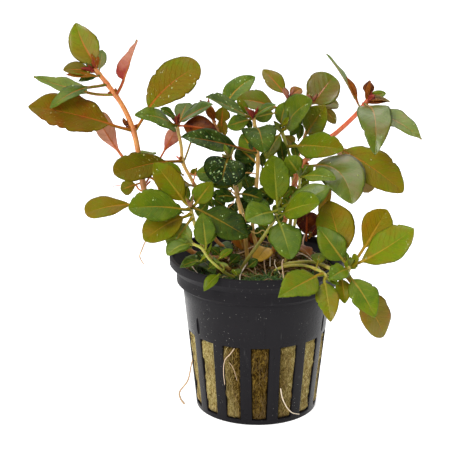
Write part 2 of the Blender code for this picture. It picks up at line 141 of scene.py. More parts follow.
STEMS = {
    "left": Stem(0.8, 0.65, 0.8, Look(1.08, 1.0, 1.1, gloom=0.3), (
        (-10, 4, 47.2), (-16, 3, 47.8), (-22, 2, 51), (-29, 0, 59.6), (-33.5, -2, 67.2), (-35.2, -3, 72),
        (-36.7, -4, 83.9), (-38.1, -4, 90.7), (-41, -4, 97.8), (-45.7, -4, 104.8), (-49.6, -4, 109.6))),
    "inner_left": Stem(0.6, 0.75, 0.3, Look(0.9, 1.0, 1.1, gloom=0.3), (
        (-7, 7, 47.2), (-13, 5, 53), (-17, 4, 61), (-18.4, 4, 68.3), (-20.8, 4, 73.4), (-23.3, 4, 78.6),
        (-23.9, 4, 84.4), (-25.3, 4, 91.6))),
    "slim": Stem(0.5, 0.6, 0.6, Look(0.9, 1.0, 1.0, gloom=0.3), (
        (-2, 12, 47.2), (-4, 10, 56), (-5.8, 9, 66), (-9, 8, 82), (-12.7, 8, 88.6), (-15.6, 8, 95.4))),
    "centre": Stem(0.6, 0.4, 0.4, Look(1.0, 1.0, 1.1, gloom=0.3), (
        (1, 4, 47.2), (-1.4, 3, 58), (-0.4, 2, 70.4), (0.1, 2, 80), (-0.6, 2, 87.9), (-1.4, 2, 94))),
    "middle": Stem(0.6, 0.5, 0.4, Look(0.2, 0.4, 0.4), (
        (-3, -4, 47.2), (-4, -6, 58), (-6.2, -8, 69.8), (-8.2, -9, 79.4), (-9, -10, 84))),
    "front_left": Stem(0.6, 0.4, 0.2, Look(0.5, 0.5, 0.7), (
        (-9, -7, 47.2), (-13, -10, 50), (-16.3, -12, 55), (-18.8, -15, 62.3), (-20.4, -16.5, 69),
        (-20.8, -17, 71))),
    "low_left": Stem(0.5, 0.1, 0.05, Look(0.35, 0.1, 0.1), (
        (-4, -13, 47.2), (-8, -18, 48.4), (-12, -22, 52.4), (-15.2, -25, 56.6), (-17, -27, 60),
        (-20.4, -27.4, 61.8))),
    "front": Stem(0.6, 0.15, 0.1, Look(0.42, 0.1, 0.1), (
        (-5, -8, 47.2), (-3, -9.6, 51.5), (1, -12, 58.2), (4, -14.6, 64), (6.2, -16.4, 69.4))),
    "low_right": Stem(0.6, 0.15, 0.1, Look(0.35, 0.2, 0.1), (
        (8, -4, 47.2), (12, -8, 49.6), (17, -14, 51.6), (22, -20, 51.4), (25.4, -23.6, 51.2),
        (26.5, -24.4, 52.4), (26.8, -24.6, 55))),
    "rim": Stem(0.5, 0.15, 0.1, Look(0.35, 0.3, 0.1), (
        (5, -10, 47.2), (9, -14, 50.4), (14, -20, 52.4), (18, -25, 52.4), (20.2, -28, 51.2))),
    "right": Stem(0.8, 0.7, 1.0, Look(1.05, 1.0, 1.1, gloom=0.2), (
        (5, 8, 47.2), (8.6, 6, 58), (10.5, 5, 66.4), (13.2, 5, 75.6), (18.9, 6, 83.7), (24.2, 5, 87.6),
        (30.4, 3.4, 94), (34.3, 2.6, 99.2))),
    "pale": Stem(0.6, 0.12, 0.0, Look(0.4, 0.2, 0.1), (
        (10, 11, 47.2), (11.2, 11, 60), (11.7, 12, 69.5), (11.3, 12, 76), (9.8, 12, 81), (7.6, 12, 87.8))),
    "back": Stem(0.5, 0.6, 0.8, Look(0.9, 0.9, 0.9, gloom=0.3), (
        (12.5, 13, 76.6), (14.4, 15.5, 81), (16, 17, 86), (16.9, 18, 91), (17.2, 18, 95.6))),
    "crown": Stem(0.5, 0.6, 0.8, Look(0.98, 1.0, 0.9, gloom=0.3), (
        (9.2, 14, 86.6), (9.8, 15, 92), (9.9, 16, 97.6))),
    "inner_right": Stem(0.5, 0.15, 0.05, Look(0.42, 0.1, 0.1), (
        (9, 0, 47.2), (11.2, -1, 57), (12.4, -3, 68.5), (13, -5, 77.4))),
}

# The large leaves. Each is named for its stem. Its values are the distance below the stem's tip, leaf
# tip, width, way that its top faces, arch and stalk as parts of its length, and looks. They are the
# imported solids' values, apart from middle_1, which is 1 mm narrower, and a few leaves that bend or face
# a little differently.
LEAVES = {
    "left_1": (0.6, (-54.7, -2, 122.8), 9, (0, -1, 0.3), 0.03, 0.1,
               Look(0.64, 0.8, 0.8, 8, 0.9, 0.65, 0.85, gloom=0, bend=-0.06)),
    "left_2": (6.3, (-61.8, -13, 98.9), 6.4, (-0.2, -0.5, 1), 0.12, 0.25,
               Look(0.26, 0.85, 0.9, 10, 0.4, gloom=0.2)),
    "left_3": (10.2, (-68, -2, 106.6), 8.5, (0, -0.3, 1), -0.03, 0.3,
               Look(0.42, 0.85, 0.8, 5, 0.3, 0.7, 1.0, gloom=0.1)),
    "left_4": (10.6, (-36.2, -6, 118.3), 4.8, (-1, 1, 0.2), 0, 0.26,
               Look(0.5, 0.8, 0.92, 0, 0.1, 0.3, 1.15, fold=0.9, gloom=0.17)),
    "left_5": (22.4, (-68.5, -12, 99.3), 13, (0.1, -1, 0.9), 0.06, 0.22,
               Look(0.8, 0.95, 0.95, 34, 0.02, 0.75, 0.8, wave=0.45, gloom=0.28)),
    "left_6": (22.8, (-17.8, 6, 108.8), 12.6, (-0.3, -1, 0.2), -0.03, 0.27,
               Look(0.66, 0.95, 0.9, 36, 0.1, 0.75, 0.55, gloom=0.15, bend=-0.11)),
    "left_7": (38, (-50.6, 6, 94.1), 7.2, (0.2, 1, 0.3), -0.05, 0.42,
               Look(0.7, 0.9, 0.76, 0, 0.1, 1.1, 0.6, gloom=0)),
    "left_8": (47, (-52.6, -12, 66.5), 8.5, (-0.1, -0.8, 1), 0.1, 0.3,
               Look(0.7, 0.5, 0.7, 0, 0.15, 1.0, 0.5, gloom=0)),
    "inner_left_1": (1.2, (-37, -12, 96.7), 9, (0, -1, 1), 0.08, 0.08,
                     Look(0.32, 0.6, 0.5, 30, 0.3, 0.35, 0.8, fold=0.05, gloom=0.15)),
    "inner_left_2": (12.6, (-43.2, -16, 79.6), 9.5, (0, -1, 0.7), 0.08, 0.24,
                     Look(0.64, 0.8, 0.6, 20, 0.02, 0.9, 0.5, gloom=0.3)),
    "slim_1": (7.4, (-0.4, 20, 103), 7.6, (-0.2, -1, 0.8), 0.04, 0.36,
               Look(0.3, 0.5, 0.3, 30, 0.4, 0.8, 0.85, gloom=0.08, bend=-0.12)),
    "centre_1": (0.8, (-15.9, -6, 101.2), 10.6, (0, -0.42, 1), 0.02, 0.12,
                 Look(0.3, 0.65, 0.4, 44, 0.2, 0.8, 0.95, gloom=0.38)),
    "centre_2": (4.2, (1.5, -12, 85.1), 10.5, (0.1, -1, 0.6), 0.22, 0.08,
                 Look(0.2, 0.6, 0.4, 44, 0.1, 0.45, 0.62, gloom=0.42)),
    "centre_4": (11.8, (-23.4, -9, 89.6), 8.5, (0, -0.85, 1), 0.04, 0.26,
                 Look(0.08, 0.85, 0.4, 44, 0.4, 0.8, 0.95, gloom=0.36)),
    "middle_1": (0.6, (-11.3, -18, 76.7), 12.6, (0, -1, 0.6), 0.3, 0.06,
                 Look(0.0, 0.5, 0.3, 90, 0.02, 0.72, 0.6, gloom=0.6)),
    "front_left_1": (0.8, (-31.3, -15, 83), 8.2, (0.3, -1, 0.3), 0.04, 0.12,
                     Look(0.6, 0.35, 0.3, 10, 0.0, 0.8, 0.8, gloom=0.18)),
    "front_left_2": (2, (-38.2, -28, 72.4), 11, (0, -1, 0.8), 0.08, 0.14,
                     Look(0.34, 0.45, 0.3, 26, 0.12, 0.9, 0.7, gloom=0.2)),
    "front_left_3": (1.9, (-13.9, -12, 76.3), 6.8, (-0.3, -1, 0.5), 0.04, 0.14,
                     Look(0.48, 0.35, 0.3, 4, 0.0, 0.75, 1.0, gloom=0.2)),
    "front_left_4": (1.4, (-3.4, -26, 63), 10, (0, -1, 0.8), 0.06, 0.2,
                     Look(0.18, 0.5, 0.2, 12, 0.0, 0.7, 0.75, wave=0.35, gloom=0.58)),
    "front_left_5": (3.8, (-34.1, -24, 61.5), 10, (-0.2, -1, 0.9), 0.12, 0.14,
                     Look(0.6, 0.4, 0.3, 6, 0.0, 0.9, 0.7, gloom=0.1)),
    "front_left_6": (5.2, (-26.5, -22, 57.8), 8, (0, -1, 0.6), 0.1, 0.16,
                     Look(0.38, 0.4, 0.2, 8, 1.1, gloom=0)),
    "low_left_1": (5.2, (-16.8, -29, 71.4), 6.4, (0.1, -1, 0.3), 0.06, 0.12,
                   Look(0.3, 0.2, 0.1, 4, 0.15, gloom=0.3)),
    "front_1": (0.6, (4.5, -9, 83.9), 9.4, (0, -1, 0.3), 0.02, 0.12,
                Look(0.42, 0.1, 0.1, 5, 0.0, 0.75, 0.8, gloom=0.32)),
    "front_2": (1.4, (-4, -26, 68.2), 9, (0, -1, 0.9), 0.08, 0.14,
                Look(0.33, 0.15, 0.1, 12, 0.4, 0.75, 0.7, gloom=0.1)),
    "front_3": (1.8, (17.4, -26, 73.6), 9.4, (-0.1, -0.9, 0.9), 0.06, 0.14,
                Look(0.39, 0.15, 0.1, 10, 0.1, 0.75, 0.7, gloom=0.18)),
    "front_4": (3.2, (9, -31, 57.8), 9.6, (0.1, -1, 0.5), 0.12, 0.16,
                Look(0.28, 0.1, 0.1, 12, 0.3, 0.9, 0.75, gloom=0.2)),
    "low_right_1": (1, (17.4, -19, 64.6), 8.2, (-0.1, -1, 0.4), 0.04, 0.12,
                    Look(0.33, 0.35, 0.2, 8, 0.2, 0.7, 1.1, gloom=0.2)),
    "low_right_2": (3, (21.1, -11, 70.3), 11.5, (0, -1, 0.3), 0.04, 0.2,
                    Look(0.64, 0.5, 0.4, 6, 0.05, 0.8, 0.85, gloom=0)),
    "low_right_3": (2, (38.3, -17, 69.1), 9.2, (0.1, -1, 0.5), 0.04, 0.34,
                    Look(0.68, 0.45, 0.4, 8, 0.0, 1.05, 0.8, gloom=0)),
    "low_right_4": (0.8, (44.4, -31, 67.2), 10.2, (-0.2, -1, 0.6), 0.04, 0.14,
                    Look(0.52, 0.4, 0.3, 14, 0.18, 1.05, 0.8, gloom=0, bend=0.04)),
    "low_right_5": (3.6, (33.8, -33, 40.6), 8.4, (0.3, -1, 0.5), 0.1, 0.14,
                    Look(0.38, 0.3, 0.2, 8, 0.45, 0.75, 0.9, gloom=0)),
    "low_right_6": (4.6, (38.4, -20, 29.9), 10.5, (0.5, -1, 0.3), 0.1, 0.24,
                    Look(0.72, 0.55, 0.4, 8, 0.3, 0.75, 0.75, gloom=0)),
    "rim_1": (2.4, (4.8, -43, 50.4), 10, (0, -1, 0.9), 0.02, 0.12,
              Look(0.45, 0.5, 0.2, 14, 0.15, 0.8, 1.2, gloom=0.05)),
    "rim_2": (1, (20.3, -39, 41.4), 6.8, (0, -1, 0.5), 0.12, 0.14,
              Look(0.56, 0.2, 0.2, 4, 0.35, 0.75, 0.9, gloom=0)),
    "right_1": (2.6, (34, -18, 85.9), 10.4, (0, -0.7, 1), 0.24, 0.14,
                Look(0.47, 0.7, 0.8, 16, 1.5, 0.5, 0.8, gloom=0.32, bend=-0.04)),
    "right_2": (4, (48.9, -10, 88.9), 9, (0, -0.4, 1), 0.09, 0.14,
                Look(0.46, 0.75, 0.8, 16, 1.0, 0.6, 0.9, gloom=0.1)),
    "right_3": (30, (28.1, -14, 69.9), 14, (0.2, -1, 0.8), 0.16, 0.14,
                Look(0.47, 0.65, 0.7, 18, 1.7, 0.7, 0.7, gloom=0.22, bend=-0.16)),
    "right_4": (19.6, (44.5, -6, 71.5), 12.5, (0.2, -1, 0.8), 0.06, 0.2,
                Look(0.62, 0.7, 0.7, 16, 0.25, 0.7, 0.7, gloom=0, bend=-0.02)),
    "right_5": (20, (36.4, 15, 66), 10, (-0.3, 0.3, 1), 0.16, 0.22,
                Look(0.84, 0.4, 0.58, 0, 0.0, 0.8, 0.45, gloom=0)),
    "back_1": (0.6, (24.7, 20, 103.2), 11.6, (-0.2, -1, 0.5), 0.04, 0.04,
               Look(0.62, 0.95, 0.7, 8, 0.9, 0.5, 0.5, gloom=0.3)),
    "pale_1": (6.2, (26, -6, 85), 9.4, (0, -1, 0.6), 0.06, 0.2,
               Look(0.5, 0.4, 0.2, 20, 0.05, 0.75, 0.8, gloom=0.2)),
    "pale_2": (0.8, (16.7, 2, 98.6), 11, (-0.3, -1, 0.8), 0.05, 0.08,
               Look(0.36, 0.4, 0.2, 20, 0.5, 0.6, 0.8, gloom=0.25, bend=-0.06)),
    "crown_1": (5.2, (-6.4, 10, 97.5), 9, (0, -0.8, 1), 0.08, 0.24,
                Look(0.5, 0.85, 0.6, 12, 0.25, gloom=0.33)),
}

# Each stem's small leaves, which are one piece with it; their values are as above.
SMALL_LEAVES = {
    "left": (
        (1.6, (-58.1, -9, 109.7), 6, (0, -0.8, 1), 0.04, 0.12, Look(0.64, 0.9, 0.9, 2, 0.2, gloom=0.3)),
        (2.6, (-48, 8, 113.3), 3.6, (0.2, -1, 0.2), 0.02, 0.14, Look(0.42, 0.6, 0.4, 2, 0.3, gloom=0.05)),
        (39, (-42.6, 0, 70.6), 5, (0, -1, 0.5), 0.06, 0.24, Look(0.68, 0.7, 1.0, 0, 0.1, gloom=0.3)),
        (33, (-33, 9, 80.6), 4.6, (0, -0.6, 1), 0.08, 0.2, Look(0.5, 0.7, 0.6, 0, 0.2)),
        (40.5, (-25.6, 10, 87.9), 4.8, (0.3, 1, 0.2), 0, 0.6, Look(0.5, 0.9, 0.9, 0, 0.1, 1.3, 0.4, gloom=0)),
    ),
    "inner_left": (
        (1, (-13.7, -1, 98), 7, (0, -0.5, 1), 0.04, 0.1, Look(0.2, 0.95, 0.7, 10, 0.8)),
        (1.8, (-12.6, 1, 89.4), 7.5, (0.1, -1, 0.5), 0.06, 0.14, Look(1.15, 1.0, 1.0, 0, 0.1)),
        (2.6, (-22, 18, 95), 6, (0, -0.5, 1), 0.08, 0.2, Look(0.3, 0.6, 0.6, 0, 0.3, gloom=0)),
        (13.4, (-19, 12, 89.2), 4, (0, -0.6, 0.6), 0.02, 0.6, Look(0.5, 0.6, 0.8, 0, 0.1)),
        (22, (-28.6, -9, 73), 7, (0, -0.6, 1), 0.12, 0.2, Look(0.6, 0.7, 0.8, 0, 0.5)),
    ),
    "slim": (
        (0.8, (-21.6, 9, 94.1), 5, (0, -0.8, 1), 0.06, 0.14, Look(0.15, 0.9, 0.6, 8, 0.5)),
        (9.2, (-10.8, 6, 96), 5, (0, -1, 0.2), 0, 0.4, Look(0.65, 0.9, 0.6, 0, 0.1)),
        (34, (-13, 27, 72), 8, (0, 0.5, 1), 0.14, 0.2, Look(0.4, 0.4, 0.4, 0, 0.1)),
    ),
    "centre": (
        (0.8, (5.4, -2, 98), 4, (0, -0.6, 1), 0.08, 0.14, Look(0.25, 0.6, 0.4, 8, 0.6)),
        (13.5, (-4.8, 8, 87), 6.5, (0, -1, 0.3), 0.04, 0.14, Look(0.35, 0.5, 0.4, 3, 0.1)),
        (15.5, (-6.3, 6, 83.1), 8, (0, -1, 0.5), 0.08, 0.12, Look(0.03, 0.5, 0.3, 4, 0.1)),
        (1.6, (-9.5, 4, 90.1), 5.5, (0, -1, 0.6), 0.04, 0.14, Look(0.25, 0.5, 0.4, 4, 0.2)),
    ),
    "middle": (
        (8, (-18.9, -3, 77.2), 8.5, (0, -0.9, 1), 0.04, 0.1, Look(0.15, 0.4, 0.3, 12, 0.2)),
        (13, (1.2, -9, 70), 6, (0, -1, 0.8), 0.14, 0.14, Look(0.12, 0.4, 0.3, 4, 0.1)),
        (14, (-13.8, -14, 72), 5, (0, -1, 0.8), 0.12, 0.14, Look(0.08, 0.4, 0.3, 4, 0.1)),
        (9, (-3.9, -14, 78.2), 6, (0, -1, 0.8), 0.1, 0.14, Look(0.15, 0.4, 0.3, 6, 0.2)),
    ),
    "front_left": (),
    "low_left": (
        (0.6, (-26.8, -34, 59.9), 7, (0, -0.2, 1), 0.12, 0.12, Look(0.32, 0.1, 0.1, 2, 0.4)),
        (1, (-25.3, -30, 61.4), 5, (0, -0.4, 1), 0.08, 0.12, Look(0.4, 0.1, 0.1, 2, 0.3)),
        (17, (-12.8, -32, 57.4), 5, (0, -0.8, 1), 0.08, 0.3, Look(0.35, 0.1, 0.1, 2, 0.2)),
    ),
    "front": (
        (5, (21.2, -16, 75.8), 8.6, (0, -0.9, 0.9), 0.04, 0.2, Look(0.36, 0.15, 0.1, 16, 0.6)),
        (5.4, (-2, -5, 70), 5, (0, -0.8, 1), 0.06, 0.14, Look(0.2, 0.1, 0.1, 0, 0.1)),
    ),
    "low_right": (
        (0.2, (29.1, -28, 56.8), 4.6, (0, -1, 0.8), 0.04, 0.1, Look(0.42, 0.3, 0.2, 0, 0.2, gloom=0)),
        (2.2, (19.9, -34, 52.7), 6, (0, -1, 0.9), 0.1, 0.12, Look(0.34, 0.3, 0.2, 5, 0.3, gloom=0)),
        (6, (25.2, -29, 43.5), 4.6, (0, -1, 0.5), 0.12, 0.2, Look(0.6, 0.4, 0.3, 0, 0.1, gloom=0)),
    ),
    "rim": (
        (6, (18.4, -17, 55.4), 4.6, (0, -0.7, 1), 0.1, 0.2, Look(0.35, 0.4, 0.2, 4, 0.3)),
    ),
    "right": (
        (0.6, (40, -2, 98.8), 7, (0, 0.6, 1), 0.08, 0.12, Look(0.4, 0.8, 0.55, 0, 0.5)),
        (0.8, (34.4, 6, 104.4), 3.6, (0, -1, 0.2), 0.02, 0.12, Look(1.14, 0.9, 1.1, 0, 0.2, 1.5, 1.7)),
        (4.6, (21, 8, 112.2), 5.4, (0.9, -0.2, 0.5), 0.04, 0.14, Look(0.35, 0.9, 0.3, 0, 1.2, gloom=0)),
    ),
    "pale": (
        (1.5, (2.6, 3, 79.8), 5.5, (-0.3, -1, 0.4), 0.06, 0.12, Look(0.48, 0.3, 0.2, 3, 0.4)),
        (2.5, (12.1, 18, 80.8), 4, (0, -1, 0.3), 0.04, 0.12, Look(0.72, 0.6, 0.4, 0, 0.1)),
        (16, (18, 30, 73), 9, (0, 0.5, 1), 0.14, 0.2, Look(0.4, 0.2, 0.1, 0, 0.1)),
    ),
    "back": (
        (11.5, (21.4, 8, 95.9), 9, (-0.2, -1, 0.4), 0.04, 0.1, Look(0.52, 0.5, 0.4, 10, 0.3)),
        (1.4, (27.1, 26, 93), 6, (0, -0.9, 0.8), 0.06, 0.14, Look(0.62, 0.6, 0.6, 0, 0.8)),
    ),
    "crown": (
        (0.6, (1.9, 21, 105.2), 6.4, (0.2, -0.9, 0.8), 0.04, 0.12, Look(0.65, 0.9, 0.7, 8, 0.5)),
        (0.6, (14.4, 19, 99.4), 4.4, (0, -0.6, 1), 0.06, 0.14, Look(0.9, 0.8, 0.8, 0, 0.3)),
    ),
    "inner_right": (
        (1, (8.5, -5, 82.6), 7, (0, -1, 0.5), 0.06, 0.12, Look(0.44, 0.2, 0.1, 6, 0.3)),
        (2, (23, -15, 77.8), 6.4, (0, -0.8, 1), 0.08, 0.14, Look(0.36, 0.2, 0.1, 8, 0.3)),
    ),
}


class Number:
    """A number socket; arithmetic on it adds Math nodes."""

    def __init__(self, finish, socket):
        self.finish = finish
        self.socket = socket

    def __add__(self, other):
        return self.finish.math("ADD", self, other)

    def __sub__(self, other):
        return self.finish.math("SUBTRACT", self, other)

    def __rsub__(self, other):
        return self.finish.math("SUBTRACT", other, self)

    def __mul__(self, other):
        return self.finish.math("MULTIPLY", self, other)

    def __truediv__(self, other):
        return self.finish.math("DIVIDE", self, other)

    __radd__ = __add__
    __rmul__ = __mul__


class Finish:
    """One procedural material, built node by node."""

    def __init__(self, name, roughness=0.5):
        self.material = bpy.data.materials.new(name)
        self.material.use_nodes = True
        self.tree = self.material.node_tree
        self.shader = self.tree.nodes["Principled BSDF"]
        self.output = self.tree.nodes["Material Output"]
        self.shader.inputs["Roughness"].default_value = roughness

    def feed(self, socket, value):
        """Link a socket, or set its value."""
        if isinstance(value, Number):
            value = value.socket
        if isinstance(value, bpy.types.NodeSocket):
            self.tree.links.new(value, socket)
        else:
            socket.default_value = value

    def node(self, kind, settings=None, inputs=None):
        """Any node: its settings first, then the values or links of its sockets."""
        node = self.tree.nodes.new(kind)
        for key, value in (settings or {}).items():
            if key == "stops":
                for spare in range(len(value) - 2):
                    node.color_ramp.elements.new(0.5)
                for element, (place, colour) in zip(node.color_ramp.elements, value):
                    element.position = place
                    element.color = (*colour, 1)
            else:
                setattr(node, key, value)
        for key, value in (inputs or {}).items():
            self.feed(node.inputs[key], value)
        return node

    def math(self, operation, *values):
        """The result of a Math node."""
        node = self.node("ShaderNodeMath", {"operation": operation}, dict(enumerate(values)))
        return Number(self, node.outputs[0])

    def parts(self, vector):
        """The three numbers of a vector."""
        node = self.node("ShaderNodeSeparateXYZ", None, {0: vector})
        return [Number(self, socket) for socket in node.outputs]

    def attribute(self, name):
        """Three numbers that the mesh carries."""
        return self.parts(self.node("ShaderNodeAttribute", {"attribute_name": name}).outputs["Vector"])

    def place(self, scale=(1, 1, 1)):
        """Object coordinates in millimetres, stretched."""
        coordinates = self.node("ShaderNodeTexCoord").outputs["Object"]
        stretch = tuple(1000 * value for value in scale)
        return self.node("ShaderNodeMapping", None, {"Vector": coordinates, "Scale": stretch}).outputs[0]

    def noise(self, scale, detail=3.0, place=None, distortion=0.0):
        """Noise from 0 to 1; scale is per millimetre."""
        node = self.node("ShaderNodeTexNoise", None, {
            "Vector": place or self.place(), "Scale": scale, "Detail": detail,
            "Roughness": 0.55, "Distortion": distortion})
        return Number(self, node.outputs[0])

    def cells(self, scale):
        """The distance to the nearest of scattered points; scale is per millimetre."""
        node = self.node("ShaderNodeTexVoronoi", None, {"Vector": self.place(), "Scale": scale})
        return Number(self, node.outputs["Distance"])

    def step(self, value, low, high, start=0.0, end=1.0):
        """A smooth step of value between low and high."""
        node = self.node("ShaderNodeMapRange", {"interpolation_type": "SMOOTHSTEP"},
                         {"Value": value, "From Min": low, "From Max": high, "To Min": start, "To Max": end})
        return Number(self, node.outputs[0])

    def mix(self, factor, first, second):
        """Mix two colours."""
        node = self.node("ShaderNodeMix", {"data_type": "RGBA", "clamp_factor": True})
        self.feed(node.inputs[0], factor)
        for socket, value in ((node.inputs[6], first), (node.inputs[7], second)):
            self.feed(socket, value if isinstance(value, bpy.types.NodeSocket) else (*value, 1))
        return node.outputs[2]

    def ramp(self, value, stops):
        """The colour of a value on a ramp."""
        return self.node("ShaderNodeValToRGB", {"stops": stops}, {0: value}).outputs[0]

    def bump(self, height, depth):
        """A relief of this depth in millimetres."""
        inputs = {"Height": height, "Distance": depth * MM, "Strength": 1.0}
        return self.node("ShaderNodeBump", None, inputs).outputs[0]

    def wear(self, **sockets):
        """Feed the shader's sockets, named with _ for spaces."""
        for name, value in sockets.items():
            self.feed(self.shader.inputs[name.replace("_", " ")], value)
        return self.material

    def fixed(self, **sockets):
        """Set the shader's constants, named in the same way."""
        for name, value in sockets.items():
            self.shader.inputs[name.replace("_", " ")].default_value = value

    def glow_through(self, share, colour, normal):
        """Let a share of the light through the surface, in this colour."""
        through = self.node("ShaderNodeBsdfTranslucent", None, {"Color": colour, "Normal": normal})
        mixed = self.node("ShaderNodeMixShader", None,
                          {0: share, 1: self.shader.outputs[0], 2: through.outputs[0]})
        self.feed(self.output.inputs[0], mixed.outputs[0])


LEAF_TONES = (
    (0.0, (0.016, 0.044, 0.003)),
    (0.125, (0.085, 0.150, 0.006)),
    (0.225, (0.145, 0.200, 0.003)),
    (0.31, (0.185, 0.155, 0.002)),
    (0.4, (0.215, 0.135, 0.002)),
    (0.5, (0.280, 0.080, 0.003)),
    (0.65, (0.050, 0.003, 0.003)),
    (0.8, (0.640, 0.380, 0.040)),
)
RIB_TONES = (
    (0.0, (0.26, 0.30, 0.03)),
    (0.45, (0.42, 0.24, 0.02)),
    (1.0, (0.48, 0.090, 0.016)),
)
UNDER_TONES = (
    (0.0, (0.17, 0.24, 0.04)),
    (0.5, (0.32, 0.22, 0.07)),
    (0.85, (0.60, 0.25, 0.17)),
    (1.2, (0.34, 0.04, 0.03)),
)
STEM_TONES = (
    (0.0, (0.28, 0.32, 0.03)),
    (0.3, (0.50, 0.36, 0.09)),
    (0.7, (0.50, 0.21, 0.05)),
    (1.0, (0.50, 0.075, 0.025)),
)
# Rock wool: a pale ramp, and a darker brown one used in the middle of the front and on top
PALE_WOOL = ((0.40, (0.14, 0.09, 0.020)), (0.49, (0.34, 0.26, 0.08)), (0.59, (0.62, 0.54, 0.26)))
DARK_BROWN_WOOL = ((0.42, (0.008, 0.004, 0.001)), (0.50, (0.060, 0.034, 0.006)), (0.60, (0.25, 0.16, 0.035)))
# The colour towards which painted shade darkens the leaves
BLACK = (0, 0, 0)


def vein_run(along, off):
    """How many side veins leave the midrib between the stalk and the one through a place."""
    return (along - off * VEIN_SLANT - off * off * VEIN_BEND) / VEIN_SPACING


def leaf_lines(finish, sharpness, wide, narrow):
    """1 on the side veins, which leave the midrib slanting and bend to the tip, and 1 on the midrib."""
    along, across, share = finish.attribute("blade")
    scale = finish.attribute("wax")[2]
    off = finish.math("ABSOLUTE", across)
    run = vein_run(along, off) + finish.noise(0.5, 1.0) * 0.5
    wave = finish.math("PINGPONG", run, 0.5) * 2.0
    width = finish.step(along, -1.0, 12.0, wide, narrow) * scale
    midrib = finish.step(off / width, 1.5, 0.6) * finish.step(share, 0.95, 0.55)
    return finish.step(wave, sharpness, 0.0), midrib


def leaf_top():
    """The upper skin of a leaf: tone, midrib, side veins, fine cells, a waxy sheen and painted shade."""
    finish = Finish("leaf_top")
    tone, rib = finish.attribute("look")[:2]
    # The wax numbers are the sheen, the painted shade and the midrib's scale
    sheen, gloom, scale = finish.attribute("wax")
    veins, midrib = leaf_lines(finish, 0.2, 0.32, 0.11)
    clouds = finish.noise(0.16, 3.0) - 0.5
    cells = finish.noise(3.2, 2.0) - 0.5
    blotches = finish.noise(0.55, 2.0) - 0.5
    shade = tone + clouds * 0.8 + blotches * 0.24 + cells * 0.18
    # Painted shade darkens the leaf towards black and dims its veins and midrib with it
    base = finish.mix(gloom, finish.ramp(shade * 0.5, LEAF_TONES), BLACK)
    rib_colour = finish.ramp(rib, RIB_TONES)
    clear = 1.0 - gloom * 0.9
    base = finish.mix(veins * finish.noise(0.25, 2.0) * clear * 0.25, base, rib_colour)
    base = finish.mix(midrib * (scale * 0.45 + 0.3) * clear, base, rib_colour)
    relief = cells * 0.6 - veins * 0.7 - midrib * 0.5 + finish.noise(0.9, 2.0) * 1.1
    normal = finish.bump(relief, 0.13)
    rough = 0.4 + finish.noise(0.7, 2.0) * 0.15
    wax = sheen * (0.7 + clouds * 1.6) + 0.01
    finish.fixed(Specular_IOR_Level=0.07, Coat_Roughness=0.32)
    finish.glow_through(0.2, base, normal)
    return finish.wear(Base_Color=base, Roughness=rough, Coat_Weight=wax, Normal=normal)


def leaf_under():
    """The underside: paler or pink, with raised veins, and darkened by the same painted shade as the top."""
    finish = Finish("leaf_under")
    share = finish.attribute("blade")[2]
    rib, under = finish.attribute("look")[1:]
    gloom = finish.attribute("wax")[1]
    veins, midrib = leaf_lines(finish, 0.25, 0.4, 0.16)
    clouds = finish.noise(0.2, 3.0) - 0.5
    base = finish.ramp(under + clouds * 0.35 + (0.4 - share) * 0.25, UNDER_TONES)
    # Painted shade darkens the underside towards black
    base = finish.mix(gloom, base, BLACK)
    rib_colour = finish.ramp(rib, RIB_TONES)
    base = finish.mix(veins * 0.3, base, rib_colour)
    base = finish.mix(midrib * 0.8, base, rib_colour)
    normal = finish.bump(veins * 0.8 + finish.noise(1.4, 3.0), 0.09)
    finish.fixed(Specular_IOR_Level=0.12)
    finish.glow_through(0.25, base, normal)
    return finish.wear(Base_Color=base, Roughness=0.5 + finish.noise(0.8, 2.0) * 0.15, Normal=normal)


def stem_skin():
    """Stem bark: ribbed lengthways, darker at its joints."""
    finish = Finish("stem_skin")
    joint = finish.attribute("blade")[2]
    tone = finish.attribute("look")[0]
    streaks = finish.noise(1.0, 3.0, place=finish.place((1.0, 1.0, 0.25))) - 0.5
    base = finish.ramp(tone + streaks * 0.5, STEM_TONES)
    base = finish.mix(joint * 0.35, base, (0.20, 0.07, 0.02))
    finish.fixed(Subsurface_Weight=0.15, Subsurface_Scale=0.0008)
    return finish.wear(Base_Color=base, Roughness=0.38 + finish.noise(1.5) * 0.15,
                       Normal=finish.bump(streaks, 0.12))


def dew_skin():
    """Water beads that sit on the leaves, lightened towards pale green as a painted highlight."""
    finish = Finish("dew", 0.05)
    tone = finish.attribute("look")[0]
    base = finish.ramp(tone * 0.5 + finish.noise(0.9, 1.0) * 0.1, LEAF_TONES)
    finish.fixed(Coat_Weight=1.0, Coat_Roughness=0.02)
    # The leaf's tone mixed towards pale green is a painted highlight of the light in the beads
    return finish.wear(Base_Color=finish.mix(0.24, base, (0.30, 0.46, 0.12)))


